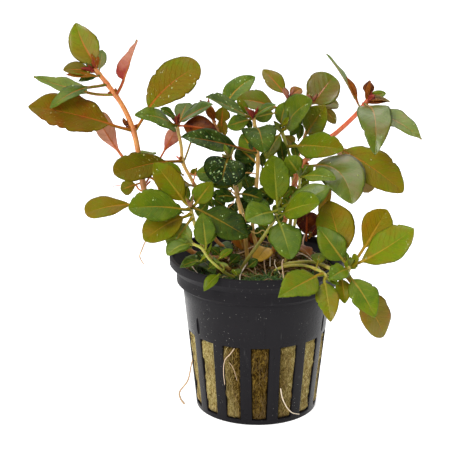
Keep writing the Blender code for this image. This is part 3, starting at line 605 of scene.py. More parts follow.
def pot_plastic():
    """Charcoal plastic with moulding grain, dust specks, scratches, and pits darkened by painted shade."""
    finish = Finish("pot_plastic")
    grain = finish.noise(6.0, 2.0)
    clouds = finish.noise(0.12, 4.0)
    x, y, z = finish.parts(finish.place())
    right = x - SPLASH_X
    above = z - SPLASH_Z
    splash = finish.step(right * right + above * above, 70.0, 10.0) * finish.step(y, 0.0, -5.0)
    patch = finish.math("MAXIMUM", finish.step(finish.noise(0.09, 2.0), 0.46, 0.62) * 0.8, splash)
    specks = finish.step(finish.cells(0.9), 0.13, 0.06) * patch
    dust = finish.step(finish.cells(1.7), 0.13, 0.05) * finish.step(finish.noise(0.3, 2.0), 0.5, 0.62)
    shaded_pits = finish.step(finish.cells(0.3), 0.09, 0.06)
    scratch = finish.noise(0.9, 2.0, place=finish.place((1.0, 1.0, 0.06)))
    scratches = finish.step(scratch, 0.66, 0.72) * finish.step(finish.noise(0.16, 2.0), 0.5, 0.6)
    base = finish.mix(clouds, (0.0045, 0.0038, 0.0052), (0.009, 0.008, 0.010))
    base = finish.mix(specks * 0.7, base, (0.38, 0.37, 0.34))
    base = finish.mix(dust * 0.4, base, (0.26, 0.26, 0.22))
    base = finish.mix(scratches * 0.25, base, (0.09, 0.09, 0.09))
    # The pits are darkened nearly to black: painted shade in the dents
    base = finish.mix(shaded_pits * 0.9, base, (0.003, 0.003, 0.003))
    relief = grain * 0.5 + specks * 1.5 - shaded_pits * 2.0 + finish.noise(0.9, 2.0)
    rough = 0.22 + clouds * 0.14 + specks * 0.3 + finish.step(z, 37.0, 41.0) * 0.3
    finish.fixed(Specular_IOR_Level=0.11)
    return finish.wear(Base_Color=base, Roughness=rough, Normal=finish.bump(relief, 0.05))


def wool_shade(finish):
    """How brown the rock wool is: most in the middle of the front and on top."""
    x, y, z = finish.parts(finish.place())
    off = finish.math("ABSOLUTE", x + 1.0)
    low = finish.step(z, 14.0, 2.0) * finish.step(x, -4.0, -7.0)
    side = finish.step(off + (finish.noise(0.3, 2.0) - 0.5) * 6 + low * 5, 15.5, 5.0)
    return finish.math("MAXIMUM", side, finish.step(z, 40.0, 46.0))


def wool_felt():
    """Rock wool: matted straw fibres, browner and darker in the middle of the front and on top."""
    finish = Finish("wool_felt", 0.95)
    swirl = finish.noise(1.4, 4.0, finish.place((1.0, 1.0, 0.4)), 1.8)
    threads = finish.noise(5.5, 3.0, finish.place((1.0, 1.0, 0.35)), 3.0)
    mix = swirl * 0.55 + threads * 0.45
    base = finish.mix(wool_shade(finish), finish.ramp(mix, PALE_WOOL), finish.ramp(mix, DARK_BROWN_WOOL))
    finish.fixed(Specular_IOR_Level=0.0)
    return finish.wear(Base_Color=base, Normal=finish.bump(threads * 0.7 + swirl, 0.5))


def strand_skin(name, stops, roughness):
    """Thin strands whose colour runs over a ramp by the tone that each carries."""
    finish = Finish(name, roughness)
    tone = finish.attribute("look")[0]
    base = finish.ramp(tone + (finish.noise(1.2, 2.0) - 0.5) * 0.4, stops)
    return finish.wear(Base_Color=base, Normal=finish.bump(finish.noise(5.0, 2.0), 0.05))


def floor_paper():
    """White studio floor, lit through from below."""
    finish = Finish("floor_paper", 0.8)
    finish.fixed(Specular_IOR_Level=0.0, Emission_Color=(1, 1, 1, 1), Emission_Strength=0.6)
    return finish.wear(Base_Color=finish.mix(finish.noise(0.02, 2.0), (0.80, 0.80, 0.80), (0.82, 0.82, 0.82)))


TOP, UNDER, BARK, DEW = range(4)
LEAF_SKINS = [leaf_top(), leaf_under(), stem_skin(), dew_skin()]
POT_PLASTIC = pot_plastic()
WOOL_FELT = wool_felt()
FIBRE = strand_skin("wool_fibre", ((0.0, (0.08, 0.04, 0.006)), (0.5, (0.34, 0.22, 0.05)),
                                   (1.0, (0.72, 0.58, 0.26))), 0.7)
ROOT = strand_skin("root_skin", ((0.0, (0.22, 0.10, 0.03)), (0.5, (0.60, 0.42, 0.26)),
                                 (1.0, (0.75, 0.66, 0.52))), 0.5)
MOSS = strand_skin("moss_leaf", ((0.0, (0.008, 0.035, 0.006)), (0.5, (0.03, 0.10, 0.012)),
                                 (1.0, (0.12, 0.17, 0.02))), 0.55)
CRUMB = strand_skin("crumb_skin", ((0.0, (0.02, 0.009, 0.004)), (0.5, (0.09, 0.04, 0.012)),
                                   (1.0, (0.26, 0.14, 0.04))), 0.8)


def smoothstep(low, high, value):
    """A smooth step from 0 at low to 1 at high."""
    share = min(1.0, max(0.0, (value - low) / (high - low)))
    return share * share * (3 - 2 * share)


def vectors(points):
    """The points as vectors."""
    return [Vector(point) for point in points]


def round_point(turn, radius, z):
    """A point at an angle about the pot's axis."""
    return Vector((radius * math.cos(turn), radius * math.sin(turn), z))


def spline_point(points, at):
    """A smooth curve through points; at counts from 0 at the first to len - 1 at the last."""
    last = len(points) - 1
    index = min(int(at), last - 1)
    share = at - index
    before = points[max(index - 1, 0)]
    start = points[index]
    end = points[index + 1]
    after = points[min(index + 2, last)]
    return 0.5 * (2 * start + (end - before) * share + (2 * before - 5 * start + 4 * end - after) * share ** 2
                  + (3 * start - before - 3 * end + after) * share ** 3)


def spline(points, rows_each):
    """Points of the curve, this many from each given point to the next."""
    return [spline_point(points, row / rows_each) for row in range((len(points) - 1) * rows_each + 1)]


def stem_spot(stem, down):
    """The point, direction and spline place of a stem at a distance below its tip."""
    points = vectors(STEMS[stem].points)
    for upper in range(len(points) - 1, 0, -1):
        span = points[upper] - points[upper - 1]
        if down <= span.length or upper == 1:
            share = down / span.length
            return points[upper] - span * share, span.normalized(), upper - share
        down -= span.length


def placed(name, data):
    """A new object in the scene."""
    thing = bpy.data.objects.new(name, data)
    bpy.context.scene.collection.objects.link(thing)
    return thing


def mesh_of(name, bm, materials=()):
    """A mesh made of a bmesh, which is freed."""
    mesh = bpy.data.meshes.new(name)
    bm.to_mesh(mesh)
    bm.free()
    for material in materials:
        mesh.materials.append(material)
    return mesh


def layers(bm):
    """The triples of numbers that materials read from a mesh."""
    return [bm.verts.layers.float_vector.get(name) or bm.verts.layers.float_vector.new(name)
            for name in ("blade", "look", "wax")]


def wrap_grid(bm, size, spot, look, skins=(0, 0), wax=(0, 0, 0)):
    """A grid closed round a tube. spot(row, step) gives a point and its own three numbers."""
    rows, around = size
    grid = bmesh.new()
    blade_layer, look_layer, wax_layer = layers(grid)
    bmesh.ops.create_grid(grid, x_segments=rows, y_segments=around, size=0.5)
    for face in grid.faces:
        face.material_index = skins[0] if face.calc_center_median().y < 0 else skins[1]
        face.smooth = True
    for vert in grid.verts:
        row = round((vert.co.x + 0.5) * rows)
        step = round((vert.co.y + 0.5) * around) % around
        point, numbers = spot(row, step)
        vert.co = point * MM
        vert[blade_layer] = numbers
        vert[look_layer] = look(row) if callable(look) else look
        vert[wax_layer] = wax
    bmesh.ops.remove_doubles(grid, verts=grid.verts, dist=1e-7)
    join(bm, grid)


def join(bm, part):
    """Add one bmesh to another."""
    mesh = mesh_of("part", part)
    bm.from_mesh(mesh)
    bpy.data.meshes.remove(mesh)


def rings_along(spine, widths, side):
    """Each ring of a strand: its middle, two directions and radius. Both ends are drawn to a point."""
    last = len(spine) - 1
    rings = []
    for row, (middle, wide) in enumerate(zip(spine, widths)):
        ahead = (spine[min(row + 1, last)] - spine[max(row - 1, 0)]).normalized()
        side = (side - side.dot(ahead) * ahead).normalized()
        rings.append((middle, side, ahead.cross(side), 0 if row in (0, last) else wide))
    return rings


def ring_point(ring, turn, swell=1.0):
    """A point of a ring at an angle."""
    middle, first, second, wide = ring
    return middle + (first * math.cos(turn) + second * math.sin(turn)) * wide * swell


def tube(bm, points, radius, sides, look, skin=0, rows_each=3):
    """A round strand through points. radius is a number or a function of the share of its length."""
    spine = spline(vectors(points), rows_each)
    rows = len(spine) - 1
    widths = [radius(row / rows) if callable(radius) else radius for row in range(rows + 1)]
    rings = rings_along(spine, widths, (spine[1] - spine[0]).orthogonal())

    def spot(row, step):
        return ring_point(rings[row], 2 * math.pi * step / sides), (row, 9, 0)

    wrap_grid(bm, (rows, sides), spot, look, (skin, skin))


class Leaf:
    """One leaf. place runs from its stem (-LEAD) over its base (0) to its tip (1)."""

    def __init__(self, root, base, tip, width, facing, arch, stalk, look, petiole):
        self.root = Vector(root)
        self.base = Vector(base)
        chord = Vector(tip) - self.base
        self.length = chord.length
        self.chord = chord.normalized()
        up = Vector(facing)
        self.up = (up - up.dot(self.chord) * self.chord).normalized()
        self.side = self.chord.cross(self.up)
        self.width = width
        self.arch = arch
        self.stalk = stalk
        self.look = look
        self.petiole = petiole
        self.curved = max(0.04, stalk * 0.7)
        self.phase = noise.cell(self.base) * 6

    def rib(self, place):
        """A point of the midrib beyond the stalk."""
        bow = 4 * self.length * place * (1 - place)
        return (self.base + self.chord * self.length * place + self.up * self.arch * bow
                + self.side * self.look.bend * bow)

    def centre(self, place):
        """A point of the midrib, or of the stalk that curves out of the stem."""
        if place >= self.curved:
            return self.rib(place)
        share = (place + LEAD) / (self.curved + LEAD)
        end = self.rib(self.curved)
        middle = (self.root + end) / 4 + self.base / 2
        return self.root * (1 - share) ** 2 + middle * 2 * share * (1 - share) + end * share ** 2

    def half(self, place):
        """Half of the width, and the share of it that is blade."""
        share = max(0.0, min(1.0, (place - self.stalk) / (1 - self.stalk)))
        rise, fall = self.look.rise, self.look.fall
        belly = rise / (rise + fall)
        top = belly ** rise * (1 - belly) ** fall
        blade = self.width / 2 * share ** rise * (1 - share) ** fall / top
        stalk = self.petiole * (1 + 0.5 * math.exp(-max(place, 0) / 0.03)) * (1 - share)
        return math.hypot(blade, stalk), smoothstep(0.3, 1.6, blade / self.petiole)

    def axes(self, place):
        """The midrib's point and the leaf's own side and up there."""
        middle = self.centre(place)
        ahead = (self.centre(place + 0.02) - self.centre(max(place - 0.02, -LEAD))).normalized()
        up = (self.up - self.up.dot(ahead) * ahead).normalized()
        return middle, ahead.cross(up), up

    def ragged(self, along, across):
        """How far the edge bulges, or is nicked, at a place along one side."""
        side = math.copysign(5, across) + self.phase * 9
        bulge = 0.09 * noise.noise(Vector((along * 0.22, side, 1)))
        bulge += 0.03 * noise.noise(Vector((along * 1.1, side, 2)))
        nick = smoothstep(0.38, 0.5, noise.noise(Vector((along * 0.8, side, 3))))
        return bulge - 0.1 * nick

    def surface(self, place, across, above, section=None):
        """A point of the skin at a share across the blade, on its upper side or its underside."""
        middle, side, up, half, flat = section or (*self.axes(place), *self.half(place))
        along = (place - self.stalk) * self.length
        half *= 1 + self.ragged(along, across) * flat * abs(across)
        off = abs(half * across)
        height = half * (self.look.fold * 1.1 * (math.sqrt(across * across + 0.01) - 0.1)
                         - 0.06 * across * across)
        turn = 6.3 * (along / 7 + self.phase) + (2.5 if across > 0 else 0)
        height += self.look.wave * across * across * math.sin(turn)
        between_veins = math.cos(2 * math.pi * (vein_run(along, off) + 0.5))
        height += VEIN_RELIEF * (1 - across * across) * between_veins
        height *= flat
        round_skin = self.petiole * math.sqrt(max(0.0, 1 - across * across))
        end = min(1.0, (1 - place) * 14) ** 0.5
        blade_skin = BLADE_THICKNESS / 2 * math.sqrt(max(0.0, 1 - across ** 4)) * end
        skin = round_skin * (1 - flat) + blade_skin * flat
        if above:
            groove = GROOVE_DEPTH * math.exp(-(off / 0.3) ** 2) * flat * end
            return middle + side * half * across + up * (height + skin - groove)
        ridge = RIDGE_HEIGHT * (1 - place) * math.exp(-(off / 0.34) ** 2) * flat
        return middle + side * half * across + up * (height - skin - ridge)

    def build(self, bm, grid):
        """Add the leaf to a mesh, as one closed skin with its stalk."""
        rows, around = grid
        half_way = around // 2
        stalk_rows = rows // 5
        sections = []
        for row in range(rows + 1):
            if row <= stalk_rows:
                place = -LEAD + (self.stalk + LEAD) * row / stalk_rows
            else:
                share = (row - stalk_rows) / (rows - stalk_rows)
                share -= 0.07 * math.sin(2 * math.pi * share)
                place = self.stalk + (1 - self.stalk) * share
            half, flat = self.half(place)
            sections.append((place, (*self.axes(place), half, flat)))

        def spot(row, step):
            place, section = sections[row]
            if row in (0, rows):
                return section[0], ((place - self.stalk) * self.length, 0, row / rows)
            if step <= half_way:
                at = 1 - 2 * step / half_way
            else:
                at = -1 + 2 * (step - half_way) / half_way
            across = math.copysign(abs(at) ** 1.4, at)
            point = self.surface(place, across, step <= half_way, section)
            share = max(0.0, (place - self.stalk) / (1 - self.stalk))
            return point, ((place - self.stalk) * self.length, across * section[3], share)

        look = (self.look.tone, self.look.rib, self.look.under)
        # The wax numbers: sheen, painted shade, and a scale for the midrib
        wax = (self.look.sheen, self.look.gloom, min(1, self.width / 7))
        wrap_grid(bm, grid, spot, look, (TOP, UNDER), wax)

    def add_dew(self, bm, dice):
        """Set water beads on the upper skin."""
        beads = bmesh.new()
        look_layer = layers(beads)[1]
        for bead in range(self.look.dew):
            share = dice.uniform(0.08, 0.92)
            place = self.stalk + (1 - self.stalk) * share
            across = dice.uniform(-0.85, 0.85)
            wide = BEAD_LEAST + BEAD_SPREAD * dice.random() ** 5
            spot = self.surface(place, across, True)
            ahead = self.surface(place + 0.02, across, True) - spot
            beside = self.surface(place, across - 0.1, True) - spot
            normal = ahead.cross(beside).normalized()
            if normal.dot(self.up) < 0:
                normal = -normal
            stretch = Matrix.Diagonal((wide, wide * dice.uniform(0.8, 1.2), wide * 0.55, 1))
            turned = normal.to_track_quat("Z", "Y").to_matrix().to_4x4()
            where = Matrix.Scale(MM, 4) @ Matrix.Translation(spot) @ turned @ stretch
            bmesh.ops.create_icosphere(beads, subdivisions=2, radius=1.0, matrix=where)
        for vert in beads.verts:
            vert[look_layer] = (self.look.tone, self.look.rib, self.look.under)
        for face in beads.faces:
            face.material_index = DEW
            face.smooth = True
        join(bm, beads)


def stem_of(leaf_name):
    """The stem that a large leaf is named for."""
    return leaf_name.rpartition("_")[0]


def leaf_on_stem(stem, row, sunk):
    """A leaf of a stem. Its base is sunk into the bark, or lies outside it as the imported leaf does."""
    down, tip, width, facing, arch, stalk, look = row
    radius = STEMS[stem].radius
    node, axis, at = stem_spot(stem, down)
    outward = Vector(tip) - node
    outward -= outward.dot(axis) * axis
    root = spline_point(vectors(STEMS[stem].points), at)
    reach = radius + GAP + SOLID_HALF
    base = root + outward.normalized() * radius * 0.8 if sunk else node + outward.normalized() * reach
    petiole = 0.3 if sunk else 0.46
    return Leaf(root, base, tip, width, facing, arch, stalk, look, petiole)


def finished(name, bm, materials, slot, *nodes):
    """Turn a bmesh into a shown piece that rides on the body."""
    bmesh.ops.recalc_face_normals(bm, faces=bm.faces)
    piece = placed(name, mesh_of(name, bm, materials))
    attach(piece, "root")
    if nodes:
        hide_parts(*nodes)
    return piece


def make_leaves(dice):
    """The large leaves, each with its beads of water."""
    for name, row in LEAVES.items():
        bm = bmesh.new()
        leaf = leaf_on_stem(stem_of(name), row, False)
        leaf.build(bm, LARGE_GRID)
        leaf.add_dew(bm, dice)
        slot = "leaf_olive" if name.startswith(("left", "right", "back")) else "leaf_green"
        finished("blade_" + name, bm, LEAF_SKINS, slot, "leaf_" + name)


def large_leaves(stem):
    """The rows of a stem's large leaves."""
    return [row for name, row in LEAVES.items() if stem_of(name) == stem]


def stem_bark(bm, stem):
    """A stem from inside the rock wool to its tip, thicker where leaves grow."""
    radius, low_tone, high_tone = STEMS[stem][:3]
    points = vectors(STEMS[stem].points)
    if points[0].z < WOOL_TOP + 1:
        points.insert(0, points[0] - Vector((0, 0, STEM_SUNK)))
    spans = [(high - low).length for low, high in zip(points, points[1:])]
    total = sum(spans)
    joints = [row[0] for row in (*large_leaves(stem), *SMALL_LEAVES[stem])]
    rows_each = 6
    spine = spline(points, rows_each)
    rows = len(spine) - 1
    runs = []
    swells = []
    for row in range(rows + 1):
        index, part = divmod(row, rows_each)
        runs.append(sum(spans[:index]) + (spans[index] * part / rows_each if part else 0))
        down = total - runs[-1]
        swells.append(max((math.exp(-((down - joint) / 0.9) ** 2) for joint in joints), default=0))
    widths = [radius * (0.78 + 0.2 * min(1, (total - run) / 25) + 0.22 * swell)
              for run, swell in zip(runs, swells)]
    rings = rings_along(spine, widths, Vector((1, 0, 0)))

    def spot(row, step):
        turn = 2 * math.pi * step / STEM_SIDES
        return ring_point(rings[row], turn, 1 + 0.05 * math.cos(4 * turn)), (runs[row], 0, swells[row])

    def look(row):
        return (low_tone + (high_tone - low_tone) * runs[row] / total, 0.5, 0.5)

    wrap_grid(bm, (rows, STEM_SIDES), spot, look, (BARK, BARK))


def stem_buds(bm, stem, dice):
    """Young leaves, still folded, round the tip."""
    tip, axis = stem_spot(stem, 0.0)[:2]
    across = axis.orthogonal().normalized()
    look = STEMS[stem].bud
    for bud in range(BUD_LEAVES):
        turn = Matrix.Rotation(GOLDEN_TURN * bud + dice.random(), 3, axis)
        out = turn @ across
        tilt = math.radians(12 + 11 * bud)
        length = 1.8 + 0.75 * bud
        end = tip + (axis * math.cos(tilt) + out * math.sin(tilt)) * length
        start = tip - axis * 0.25 * bud
        shape = look._replace(tone=min(1.3, look.tone + dice.uniform(-0.15, 0.15)), dew=0, wave=0.05,
                              rise=0.9, fall=1.1, fold=0.7)
        young = Leaf(start, start, end, 0.8 + 0.32 * bud, axis - out * 0.6, -0.08, 0.1, shape, 0.18)
        young.build(bm, BUD_GRID)


def stem_nubs(bm, stem, dice):
    """Brown buds in the angles between large leaves and the stem."""
    for down, tip, *others in large_leaves(stem):
        if down < 8:
            continue
        root, axis = stem_spot(stem, down)[:2]
        outward = Vector(tip) - root
        outward = (outward - outward.dot(axis) * axis).normalized()
        start = root + outward * STEMS[stem].radius * 0.6 + axis * 0.6
        end = start + (outward * 0.9 + axis) * dice.uniform(1.0, 1.6)
        middle = (start + end) / 2 + axis * 0.1
        tube(bm, (start, middle, end), lambda at: 0.5 * math.sin(math.pi * min(1, at * 1.1 + 0.08)) + 0.04,
             8, (1.28, 0.9, 1.0), TOP)


def make_shoots(dice):
    """Each stem with its buds and small leaves, as one piece."""
    for stem in STEMS:
        bm = bmesh.new()
        stem_bark(bm, stem)
        for row in SMALL_LEAVES[stem]:
            leaf = leaf_on_stem(stem, row, True)
            leaf.build(bm, SMALL_GRID)
            leaf.add_dew(bm, dice)
        stem_buds(bm, stem, dice)
        stem_nubs(bm, stem, dice)
        finished("shoot_" + stem, bm, LEAF_SKINS, "stem", "stem_" + stem)


def wall_radius(z):
    """Outer radius of the pot's tapered wall."""
    return POT_BASE_RADIUS + (SHOULDER_RADIUS - POT_BASE_RADIUS) * z / SHOULDER_HEIGHT


def slot_half_turn(z):
    """Half of the angle that a slot takes at a height."""
    share = min(1.0, max(0.0, (z - SLOT_BOTTOM) / (SLOT_TOP - SLOT_BOTTOM)))
    width = SLOT_WIDTH_BOTTOM + (SLOT_WIDTH_TOP - SLOT_WIDTH_BOTTOM) * share
    return math.asin(width / 2 / wall_radius(min(z, SLOT_TOP)))


def pot_levels():
    """Radius and height of each row of the pot's outer skin, from the base to the lip."""
    slot = [SLOT_BOTTOM + (SLOT_TOP - SLOT_BOTTOM) * row / SLOT_ROWS for row in range(SLOT_ROWS + 1)]
    plain = [SLOT_TOP + (SHOULDER_HEIGHT - SLOT_TOP) * (row + 1) / WALL_ROWS for row in range(WALL_ROWS)]
    rows = [(wall_radius(z), z) for z in [0.0, 0.5, *slot, *plain]]
    rows += [(BAND_RADIUS, BAND_LOW), (BAND_RADIUS, (BAND_LOW + BAND_HIGH) / 2), (BAND_RADIUS, BAND_HIGH)]
    rows += [(LIP_RADIUS, LIP_LOW), (LIP_RADIUS, (LIP_LOW + POT_HEIGHT) / 2), (LIP_RADIUS, POT_HEIGHT)]
    return rows


def pot_wall(bm):
    """The wall as a sheet with open slots."""
    levels = pot_levels()
    strips = 2 * SLOT_STRIPS
    around = SLOT_COUNT * strips
    pitch = 2 * math.pi / SLOT_COUNT
    verts = bmesh.ops.create_grid(bm, x_segments=len(levels) - 1, y_segments=around, size=0.5)["verts"]
    open_faces = []
    for face in bm.faces:
        middle = face.calc_center_median()
        row = math.floor((middle.x + 0.5) * (len(levels) - 1))
        strip = math.floor((middle.y + 0.5) * around) % strips
        if strip < SLOT_STRIPS and SLOT_BOTTOM - 0.01 < levels[row][1] < SLOT_TOP - 0.01:
            open_faces.append(face)
    for vert in verts:
        row = round((vert.co.x + 0.5) * (len(levels) - 1))
        radius, z = levels[row]
        period, strip = divmod(round((vert.co.y + 0.5) * around) % around, strips)
        slot = slot_half_turn(z)
        if strip <= SLOT_STRIPS:
            turn = slot * (2 * strip / SLOT_STRIPS - 1)
        else:
            turn = slot + (pitch - 2 * slot) * (strip - SLOT_STRIPS) / SLOT_STRIPS
        turn += SLOT_TURN + period * pitch
        vert.co = round_point(turn, radius, z) * MM
    bmesh.ops.delete(bm, geom=open_faces, context="FACES")
    bmesh.ops.remove_doubles(bm, verts=bm.verts, dist=1e-7)
    bmesh.ops.recalc_face_normals(bm, faces=bm.faces)
    outside = max(bm.faces, key=lambda face: face.calc_center_median().z)
    if outside.normal.dot(outside.calc_center_median()) < 0:
        bmesh.ops.reverse_faces(bm, faces=bm.faces)


def shaped(piece, modifiers):
    """Apply modifiers, each given as its type and settings."""
    for kind, settings in modifiers:
        modifier = piece.modifiers.new(kind.lower(), kind)
        for key, value in settings.items():
            setattr(modifier, key, value)
    view = bpy.context.evaluated_depsgraph_get()
    mesh = bpy.data.meshes.new_from_object(piece.evaluated_get(view))
    piece.modifiers.clear()
    old = piece.data
    piece.data = mesh
    bpy.data.meshes.remove(old)
    return mesh


def dimple_cutter():
    """Lenses on the wall, which cut its dimples."""
    bm = bmesh.new()
    lean = math.atan2(SHOULDER_RADIUS - POT_BASE_RADIUS, SHOULDER_HEIGHT)
    for index in range(DIMPLE_COUNT):
        turn = DIMPLE_TURN + index * 2 * math.pi / DIMPLE_COUNT
        size = DIMPLE_SIZE if index else FRONT_DIMPLE_SIZE
        place = (Matrix.Scale(MM, 4) @ Matrix.Rotation(turn, 4, "Z")
                 @ Matrix.Translation((wall_radius(DIMPLE_MIDDLE), 0, DIMPLE_MIDDLE))
                 @ Matrix.Rotation(lean, 4, "Y") @ Matrix.Diagonal((*size, 1)))
        bmesh.ops.create_uvsphere(bm, u_segments=24, v_segments=16, radius=1.0, matrix=place)
    return placed("dimple_cutter", mesh_of("dimple_cutter", bm))


def pot_floor():
    """The pot's base with its drain holes."""
    bm = bmesh.new()
    bmesh.ops.create_circle(bm, segments=120, radius=(POT_BASE_RADIUS - WALL / 2) * MM)
    for index in range(DRAIN_COUNT):
        turn = index * 2 * math.pi / DRAIN_COUNT
        spot = Matrix.Translation(round_point(turn, DRAIN_CIRCLE, 0) * MM)
        bmesh.ops.create_circle(bm, segments=24, radius=DRAIN_RADIUS * MM, matrix=spot)
    bmesh.ops.triangle_fill(bm, edges=bm.edges, use_beauty=True, normal=(0, 0, -1))
    bmesh.ops.solidify(bm, geom=bm.faces, thickness=-POT_FLOOR * MM)
    bmesh.ops.recalc_face_normals(bm, faces=bm.faces)
    lowest = min(vert.co.z for vert in bm.verts)
    bmesh.ops.translate(bm, verts=bm.verts, vec=(0, 0, 0.02 * MM - lowest))
    return bm


def make_pot():
    """The net pot: slotted wall, lens-shaped dimples and a floor with drain holes."""
    bm = bmesh.new()
    pot_wall(bm)
    pot = finished("net_pot", bm, [POT_PLASTIC], "pot", "pot")
    shaped(pot, [
        ("SOLIDIFY", {"thickness": WALL * MM, "offset": -1.0, "use_even_offset": True}),
        ("BEVEL", {"width": EDGE_ROUNDING * MM, "segments": 3, "limit_method": "ANGLE",
                   "angle_limit": math.radians(24)})])
    cutter = dimple_cutter()
    mesh = shaped(pot, [("BOOLEAN", {"operation": "DIFFERENCE", "object": cutter, "solver": "EXACT"})])
    bpy.data.objects.remove(cutter, do_unlink=True)
    bm = pot_floor()
    bm.from_mesh(mesh)
    bm.to_mesh(mesh)
    bm.free()
    mesh.shade_smooth()
    mesh.set_sharp_from_angle(angle=math.radians(35))


def wool_height(x, y):
    """Height of the rock wool's lumpy top."""
    spot = Vector((x, y, 0))
    lumps = 0.9 * noise.noise(spot * 0.13) + 0.55 * noise.noise(spot * 0.45)
    edge = max(0.0, math.hypot(x, y) - 20.5)
    return WOOL_TOP + lumps - 0.16 * edge * edge


def wool_radius(turn, z):
    """Radius of the plug's side, which swells a little into the slots and has a hollow at its left."""
    inner = wall_radius(min(z, SHOULDER_HEIGHT)) - WALL
    if z > SHOULDER_HEIGHT:
        inner += (WOOL_RIM - inner) * smoothstep(SHOULDER_HEIGHT, 44, z)
    pitch = 2 * math.pi / SLOT_COUNT
    off = abs((turn - SLOT_TURN + pitch / 2) % pitch - pitch / 2)
    in_slot = smoothstep(1.0, 0.92, off / slot_half_turn(z)) * smoothstep(0.5, 3, z) * smoothstep(27, 25.5, z)
    spot = round_point(turn, inner, z)
    rough = 0.5 * noise.noise(spot * 0.35) + 0.3 * noise.noise(spot * 1.1)
    radius = inner - WOOL_SLACK - 0.15 + (rough * 0.7 + WOOL_BULGE) * in_slot + min(0.0, rough) * 0.5
    side = abs((math.degrees(turn) - HOLLOW_TURN + 180) % 360 - 180)
    return radius - HOLLOW_DEPTH * smoothstep(14, 5, side) * smoothstep(17, 12, z) * smoothstep(2.5, 5, z)


def wool_plug():
    """The plug's skin: foot, side and lumpy top."""
    around = 450
    foot_rows, side_rows, top_rows = 6, 90, 34

    def spot(row, step):
        turn = 2 * math.pi * step / around
        if row < foot_rows:
            z = WOOL_FOOT
            radius = wool_radius(turn, z) * row / foot_rows
        elif row <= foot_rows + side_rows:
            share = (row - foot_rows) / side_rows
            top = wool_height(*round_point(turn, WOOL_RIM, 0).xy)
            z = WOOL_FOOT + (top - WOOL_FOOT) * share
            radius = wool_radius(turn, z)
        else:
            share = 1 - (row - foot_rows - side_rows) / top_rows
            radius = (WOOL_RIM - WOOL_SLACK) * share
            z = wool_height(*round_point(turn, radius, 0).xy)
        return round_point(turn, radius, z), (0, 0, 0)

    bm = bmesh.new()
    wrap_grid(bm, (foot_rows + side_rows + top_rows, around), spot, (0, 0, 0))
    finished("wool_plug", bm, [WOOL_FELT], "rock_wool", "rock_wool")


def slot_fibre(bm, dice, middle, low):
    """A loose fibre in the slot at this angle; a low one starts at the slot's foot."""
    z = dice.uniform(SLOT_BOTTOM, SLOT_TOP - 1)
    if low:
        z = dice.uniform(SLOT_BOTTOM, 4)
    share = dice.uniform(-0.85, 0.85)
    slope = dice.gauss(0, 0.5)
    length = dice.uniform(1.5, 5.5)
    points = []
    for part in range(4):
        run = length * (part / 3 - 0.5)
        height = min(SLOT_TOP - 0.2, max(SLOT_BOTTOM + 0.1, z + run))
        half = slot_half_turn(height)
        limit = half * 0.94
        turn = middle + min(limit, max(-limit, share * half + slope * run / 24))
        out = wool_radius(turn, height) + dice.uniform(-0.04, 0.25)
        points.append(round_point(turn, out, height))
    # Fibres are darker towards the middle of the front, as the rock wool is
    tone = dice.random() * min(1.0, 0.2 + abs(points[0][0] - 1) / 15)
    tube(bm, points, dice.uniform(0.03, 0.07), 3, (tone, 0, 0), 0, 2)


def on_top(dice, reach):
    """A point above the rock wool, at most this far from the axis."""
    turn = dice.uniform(0, 2 * math.pi)
    return round_point(turn, reach * math.sqrt(dice.random()), 0).xy


def kept_in(x, y, reach):
    """The point, or the nearest one that is at most this far from the axis."""
    share = min(1.0, reach / math.hypot(x, y))
    return x * share, y * share


def creeping(dice, start, parts, stride, swerve, reach, lift):
    """The points of a strand that creeps over the rock wool, lift(part) above it."""
    x, y = start
    heading = dice.uniform(0, 2 * math.pi)
    points = []
    for part in range(parts):
        points.append((x, y, wool_height(x, y) + lift(part)))
        heading += dice.gauss(0, swerve)
        x, y = kept_in(x + math.cos(heading) * stride, y + math.sin(heading) * stride, reach)
    return points


def make_wool(dice):
    """The plug of rock wool, with loose fibres in the slots and on top."""
    wool_plug()
    bm = bmesh.new()
    for slot in range(SLOT_COUNT):
        for fibre in range(SLOT_FIBRES):
            slot_fibre(bm, dice, SLOT_TURN + slot * 2 * math.pi / SLOT_COUNT, fibre < FOOT_FIBRES)
    for fibre in range(TOP_FIBRES):
        points = creeping(dice, on_top(dice, 23), 4, 0.9, 0.5, STRAND_REACH,
                          lambda part: dice.uniform(0.05, 0.7))
        tube(bm, points, dice.uniform(0.04, 0.1), 3, (dice.uniform(0, 0.2), 0, 0), 0, 2)
    finished("wool_fibres", bm, [FIBRE], "rock_wool")


# Moss patches on the rock wool: middle x and y, radius, tufts
MOSS_PATCHES = (
    (-17, -9, 5, 230), (-10, -19, 5, 340), (-1, -21, 5, 380), (9, -20, 5, 340), (17, -14, 4, 160),
    (3, -15, 4, 200), (-5, -2, 4, 110), (-20, 2, 4, 100), (6, 14, 6, 150), (19, 3, 4, 90),
)


def make_moss(dice):
    """Moss: short blades that lean every way."""
    bm = bmesh.new()
    for middle_x, middle_y, radius, count in MOSS_PATCHES:
        for blade in range(count):
            x, y = kept_in(dice.gauss(middle_x, radius * 0.45), dice.gauss(middle_y, radius * 0.45),
                           STRAND_REACH)
            z = wool_height(x, y) + dice.uniform(-0.2, 0.7)
            lean = Vector((dice.gauss(0, 0.6), dice.gauss(0, 0.6), 1)).normalized()
            length = dice.uniform(0.7, 1.7)
            foot = Vector((x, y, z))
            bend = foot + lean * length * 0.5 + Vector((0, 0, 0.1))
            tip = foot + lean * length + Vector((dice.gauss(0, 0.2), dice.gauss(0, 0.2), -0.1))
            tube(bm, (foot, bend, tip), dice.uniform(0.1, 0.2), 3, (dice.random(), 0, 0), 0, 2)
    finished("moss", bm, [MOSS], "leaf_green")


